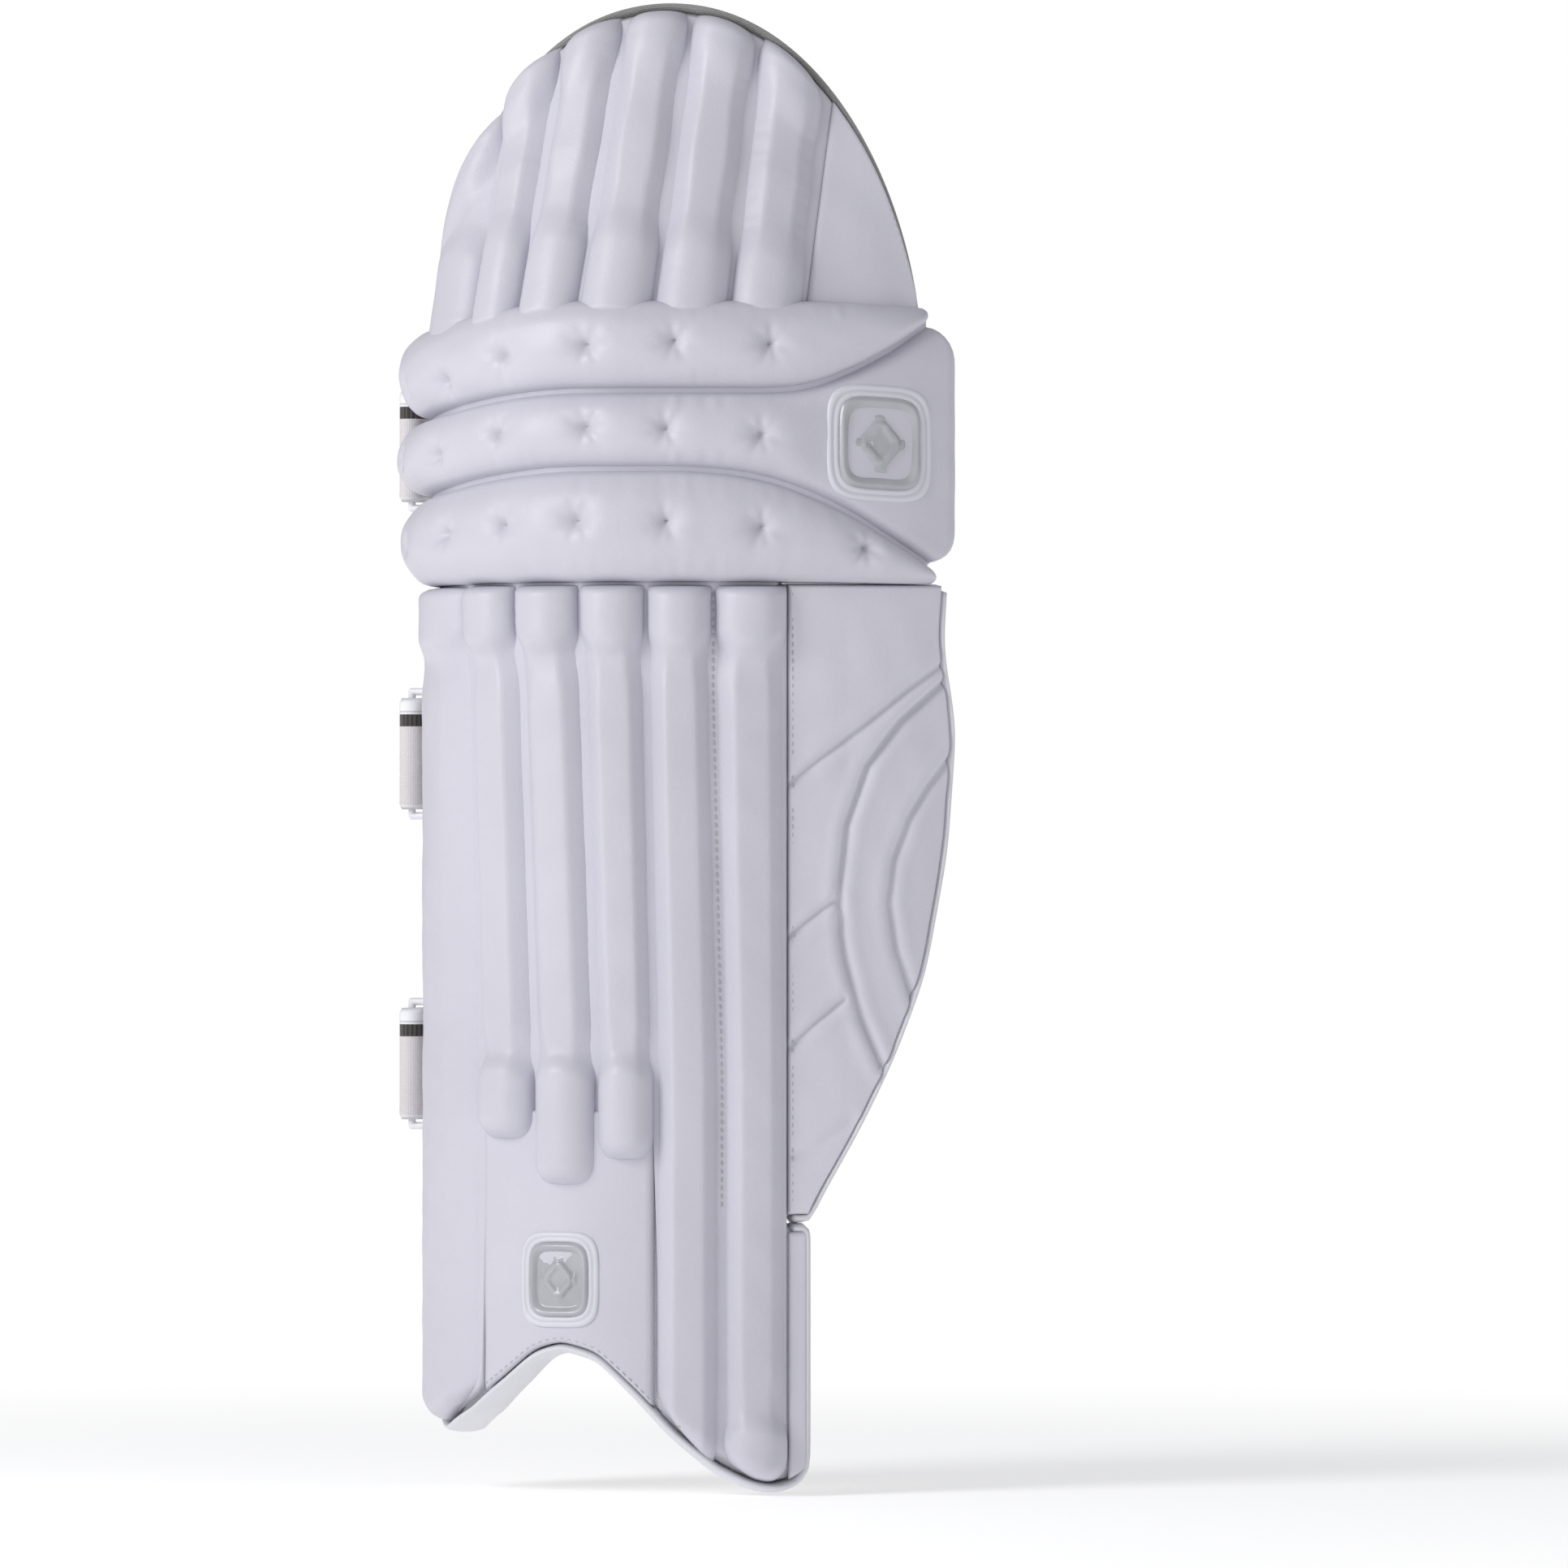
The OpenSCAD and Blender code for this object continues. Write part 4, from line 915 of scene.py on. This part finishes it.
slab("hat_face_leather", const(-96.0), const(118.2), hat_start, lambda s: hat_edge(s) - 0.6, 2.8, -1.2, hat_bend,
     roll_leather, "roll_leather", "top_hat", (), pinch=2.4, by_column=True, across=110, along=40)
hat_rolls = [
    (const(-96.5), lambda z: hat_1(z) - 0.3, 12, 101),
    (lambda z: hat_1(z) + 0.3, lambda z: hat_2(z) - 0.3, 13, 102),
    (lambda z: hat_2(z) + 0.3, lambda z: hat_3(z) - 0.3, 14, 103),
    (lambda z: hat_3(z) + 0.3, lambda z: hat_4(z) - 0.3, 15, 104),
    (lambda z: hat_4(z) + 0.3, lambda z: hat_5(z) - 0.3, 16, 105),
    (lambda z: hat_5(z) + 0.3, lambda z: hat_6(z) - 0.3, 17, 106),
]
for i, (left, right, _, seed) in enumerate(hat_rolls):
    upright_roll("hat_roll_%d" % (i + 1), left, right, hat_start, hat_edge, "top_hat", hat_bend,
                 ["hat_roll_%d" % (i + 1)], seed, base_crease, dome_crease, rise=10.6, puff=13.4,
                 ends=(5, 9), narrow=(0.0, 0.16), melt=1.9, along=120)


def side_panel_face(s, z):
    return 0.5 * ripple(s, z, 120, 1.1) - 0.3


slab("hat_side_panel", const(117.9), const(176.0), hat_start, hat_edge, 4.0, -1.0, hat_bend, panel_leather,
     "panel_leather",
     "top_hat", ["hat_side_panel"], relief=side_panel_face, pinch=3.0, by_column=True, across=60, along=60)
slab("hat_core", const(-97.5), const(177.5), hat_start, lambda s: dome(s) - 5.0, 0, -12, hat_bend, core_cloth,
     "foam_backing", "top_hat", ["hat_backing"], by_column=True, across=110, along=44)


def quilt(s, z):
    """Diamond quilting of the leg-side satin."""
    a, b = s / 58 + z / 50 + 0.03 * ripple(s, z, 71, 0.7), s / 58 - z / 50 + 0.03 * ripple(s, z, 72, 0.7)
    puff = np.power(np.abs(np.sin(math.pi * a) * np.sin(math.pi * b)), 0.45)
    return 4.4 * puff - 0.8 + 0.35 * ripple(s, z, 73, 2.4) * puff


slab("hat_quilt", const(-97.0), const(177.0), hat_start, lambda s: dome(s) - 5.2, -12.2, -17.2, hat_bend, lining_satin,
     "lining_satin", "top_hat", ["hat_lining"], back_relief=quilt, pinch=3.0, by_column=True, across=150, along=90,
     fill=0.7)
t_row = np.radians(np.linspace(179.0, 1.0, 260))
dome_path = []
for t in t_row:
    c, p = math.cos(t), (1.4 if math.cos(t) > 0 else 1.15)
    s = DOME_MID + (DOME_RIGHT if c > 0 else DOME_LEFT) * c * 0.984
    w = (HAT_SPAN - 2.6) * math.sin(t) ** p
    if w > float(hat_floor(np.array(s))) + 1.5:
        dome_path.append((s, w, -8.6))
dome_path, _ = even_path(dome_path, 2.2)
tube("hat_binding", dome_path, outward(dome_path), 2.9, 11.2, hat_bend, binding_tape, "edge_binding", "top_hat",
     ["hat_binding"], around=28)
plaque("hat_badge", float(s_of(np.array(8.0))), 0.7 * HAT_SPAN, -18.4, 24, 32, 3.0, hat_bend, "top_hat", badge_clear,
       "badge_plastic", ["hat_badge"], inward=True)

# ---------------------------------------------------------------- cloth across the two bends
hinge_low = slab("knee_hinge_cloth", const(-116.0), const(107.0), 434.0, 454.0, 2.0, -6.0, bend,
                 roll_leather, "roll_leather", "shin", (), pinch=3, across=90, along=16, fill=None)
hinge_low.parent = None
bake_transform(hinge_low)
hinge_high = slab("thigh_hinge_cloth", const(-92.0), const(168.0), lambda s: hat_floor(s) - 9.0, const(14.0),
                  1.0, -7.0, hat_bend, roll_leather, "roll_leather", "knee", (), pinch=3, by_column=True, across=90,
                  along=16,
                  fill=None)
hinge_high.parent = None
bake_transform(hinge_high)
hinge_side = slab("wing_hinge_cloth", const(105.0), const(113.0), 137.5, 442.5, -1.6, -9.0, bend, roll_leather,
                  "roll_leather",
                  "shin", (), pinch=2, across=16, along=70, fill=None)
hinge_side.parent = None
tuple(bend(106.0, 290.0, -5.0) * MM)
tuple(bend(112.4, 290.0, -5.0) * MM)
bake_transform(hinge_side)

# ---------------------------------------------------------------- straps, rings and tabs
BAR_X, BAR_Y, LOOP, THICK, WIDE = -121.0, -30.03, 5.0, 2.2, 55.0
STRAP_CX, STRAP_R = -16.0, 100.0
TAIL_CX, TAIL_R = STRAP_CX - 7.45, 102.55
LEVELS = {"calf": 360.97, "ankle": 207.8, "knee": 513.0}
tab_r = FRONT_R - 16.8 - 0.3 - 1.2
tab_end = -math.sqrt(tab_r * tab_r - BAR_Y * BAR_Y)
eye_x = BAR_X + 18.0
for which, level in LEVELS.items():
    holder = "knee" if which == "knee" else "shin"
    run = np.vstack([arc_points(STRAP_CX, BAR_Y, STRAP_R, -11.6, 180, 120),
                     arc_points(BAR_X, BAR_Y, LOOP, 360, 180, 24)[1:]])
    ribbon(which + "_strap", run, level, WIDE, THICK, holder, strap_face, "strap_cloth", [which + "_strap"], bead=0.35,
           sag=0.25, seed=5 + int(level))
    back = np.vstack([arc_points(BAR_X, BAR_Y, LOOP, 214, 183, 8), arc_points(TAIL_CX, BAR_Y, TAIL_R, 179.6, 97.9, 80)])
    tail = ribbon(which + "_strap_tail", back, level, WIDE, THICK, which + "_tail", strap_face, "strap_cloth",
                  [which + "_strap_tail"], bead=0.35, sag=0.2, seed=9 + int(level))
    tail.parent = None
    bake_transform(tail)
    tip = arc_points(TAIL_CX, BAR_Y, TAIL_R, 125.0, 97.7, 40)
    ribbon(which + "_hook_end", tip, level, WIDE + 0.8, THICK + 1.2, which + "_tail", strap_satin, "strap_satin", (),
           bead=0.3,
           seed=2)
    tab = np.vstack([
        arc_points(0, 0, tab_r, 214, 180 + math.degrees(math.atan(BAR_Y / tab_end)), 30),
        [[tab_end - 3, BAR_Y - 1.0], [eye_x + 4.5, BAR_Y - 1.8]],
        arc_points(eye_x, BAR_Y, 3.25, 300, 20, 30),
    ])
    ribbon(which + "_ring_tab", tab, level, 52, 1.9, holder, strap_face, "tab_cloth", [which + "_ring_tab"], bead=0.2,
           step=1.6)
    z0, z1 = level - 29, level + 29
    slab(which + "_strap_anchor", const(float(s_of(np.array(34.4)))), const(float(s_of(np.array(37.0)))),
         z0, z1, -17.0, -19.4, knee_bend if which == "knee" else bend, black_tape, "black_webbing", holder,
         [which + "_strap_anchor"], pinch=1.2, across=14, along=40, fill=None)


def patch_face(run, across):
    """Plain ribbed label shape: a raised rim, a dividing rib and a field of slanting ribs."""
    length = math.radians(30) * (STRAP_R + 2)
    d = np.minimum(np.minimum(run, length - run), 20.6 - np.abs(across))
    rim = 0.5 * np.exp(-(((d - 1.6) / 0.8) ** 2))
    rib = 0.5 * np.exp(-(((run - length * 0.68) / 0.9) ** 2))
    field = 0.25 * np.sin(2 * math.pi * (run + across * 0.6) / 4.5) * (run < length * 0.62) * (d > 4)
    return rim + rib + field


ribbon("calf_strap_patch", arc_points(STRAP_CX, BAR_Y, STRAP_R + 2.3, 28, 58, 40), 360.97, 41.2, 1.8, "shin",
       patch_plate,
       "strap_patch", ["calf_strap_patch"], relief=patch_face, step=0.8, across=60)

# ---------------------------------------------------------------- visible stitching
def seam_row(s, z, h, bender):
    s, z = np.asarray(s, float), np.asarray(z, float)
    return bender(s, z, np.full_like(s, h) if np.isscalar(h) else h)


zs = np.linspace(140, 440, 160)
stitches("shin_stitching", [
    seam_row(edge_5(zs) + 0.1, zs, 2.7, bend),
    seam_row(np.linspace(-48, 43, 60), foot_line(np.linspace(-48, 43, 60)) + 7.6, 3.7, bend),
], grey_thread, "shin")
zs = np.linspace(142, 440, 160)
stitches("wing_stitching", [seam_row(111.6 + 0 * zs, zs, 2.4 + 0 * zs, bend)], grey_thread, "wing")
ss = np.linspace(120, 172, 50)
stitches("hat_stitching", [
    seam_row(ss, dome(ss) - 8.6, 3.2, hat_bend),
    seam_row(120.2 + 0 * zs[:60], np.linspace(12, 104, 60), 3.0, hat_bend),
], grey_thread, "top_hat")

# ---------------------------------------------------------------- hard pieces kept from the frame
for key, material in (("calf_ring", ring_plastic), ("ankle_ring", ring_plastic), ("knee_ring", ring_plastic),
                      ("shin_canes", cane_wood)):
    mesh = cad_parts[key].data
    mesh.materials.clear()
    mesh.materials.append(material)

bm = bmesh.new()
for angle, top in ((-41.5, 58), (-20.5, 99), (-3.75, 116), (13.4, 122), (26.15, 121), (34.85, 112)):
    s = float(s_of(np.array(angle)))
    foot, head = hat_bend(s, 4.0, 4.6) * MM, hat_bend(s, top, 4.6) * MM
    way = Vector(head - foot)
    made = bmesh.ops.create_cone(bm, cap_ends=True, segments=20, radius1=0.0025, radius2=0.0025, depth=way.length)
    put(bm, made, (foot + head) / 2, way)
fit_piece("hat_canes_inside", bm, cane_wood, "top_hat", ["hat_canes"])

# ---------------------------------------------------------------- floor, light and camera
bm = bmesh.new()
bmesh.ops.create_grid(bm, x_segments=2, y_segments=2, size=9.0)
floor = finish_mesh("floor", bm)
# pale near the pad, where its shadow falls, and plain white further off
ground = Finish("studio floor")
for key, value in (("Base Color", (0.94, 0.94, 0.94, 1)), ("Roughness", 0.9), ("Emission Color", (1.0, 1.0, 1.0, 1)),
                   ("Emission Strength", 0.36)):
    ground.shader.inputs[key].default_value = value
reach = ground.node("VectorMath", {0: ground.place()}, operation="LENGTH").outputs["Value"]
far = ground.node("MapRange", {"Value": reach, "From Min": 0.30, "From Max": 1.30}, interpolation_type="SMOOTHSTEP")
bright = ground.node("Emission").outputs[0]
mixed = ground.node("MixShader", {0: far.outputs[0], 1: ground.shader.outputs[0], 2: bright})
ground.links.new(mixed.outputs[0], ground.nodes["Material Output"].inputs["Surface"])
floor.data.materials.append(ground.material)

world = bpy.data.worlds.new("studio")
bpy.context.scene.world = world
world.use_nodes = True
sky = world.node_tree
around_light = sky.nodes["Background"]
around_light.inputs["Color"].default_value = (0.96, 0.97, 1.0, 1)
around_light.inputs["Strength"].default_value = 0.44
plain_white = sky.nodes.new("ShaderNodeBackground")
plain_white.inputs["Color"].default_value = (1.0, 1.0, 1.0, 1)
plain_white.inputs["Strength"].default_value = 1.0
seen = sky.nodes.new("ShaderNodeLightPath")
either = sky.nodes.new("ShaderNodeMixShader")
sky.links.new(seen.outputs["Is Camera Ray"], either.inputs[0])
sky.links.new(around_light.outputs[0], either.inputs[1])
sky.links.new(plain_white.outputs[0], either.inputs[2])
sky.links.new(either.outputs[0], sky.nodes["World Output"].inputs["Surface"])


def soft_light(name, place, target, size, power):
    data = bpy.data.lights.new(name, "AREA")
    data.shape = "RECTANGLE"
    data.size, data.size_y = size
    data.energy = power
    obj = bpy.data.objects.new(name, data)
    bpy.context.scene.collection.objects.link(obj)
    obj.location = place
    obj.rotation_euler = (Vector(target) - Vector(place)).to_track_quat("-Z", "Y").to_euler()
    return obj


LOOK = math.radians(25)
toward = Vector((math.sin(LOOK), -math.cos(LOOK), 0))
right = Vector((math.cos(LOOK), math.sin(LOOK), 0))
middle = Vector((0, 0, 0.346)) + right * 0.0616
soft_light("key_light", middle + toward * 1.3 - right * 1.7 + Vector((0, 0, 0.9)), middle, (0.9, 1.4), 27)
soft_light("fill_light", middle + toward * 1.6 + right * 1.5 + Vector((0, 0, 0.5)), middle, (1.2, 1.4), 1.5)

camera_data = bpy.data.cameras.new("camera")
camera = bpy.data.objects.new("camera", camera_data)
bpy.context.scene.collection.objects.link(camera)
camera.location = middle + toward * 7.0
camera.rotation_euler = (-toward).to_track_quat("-Z", "Y").to_euler()
camera_data.sensor_width = 36
camera_data.lens = 36 * 7.0 / 0.7728
camera_data.clip_end = 60
bpy.context.scene.camera = camera
bpy.context.scene.view_settings.view_transform = "Standard"
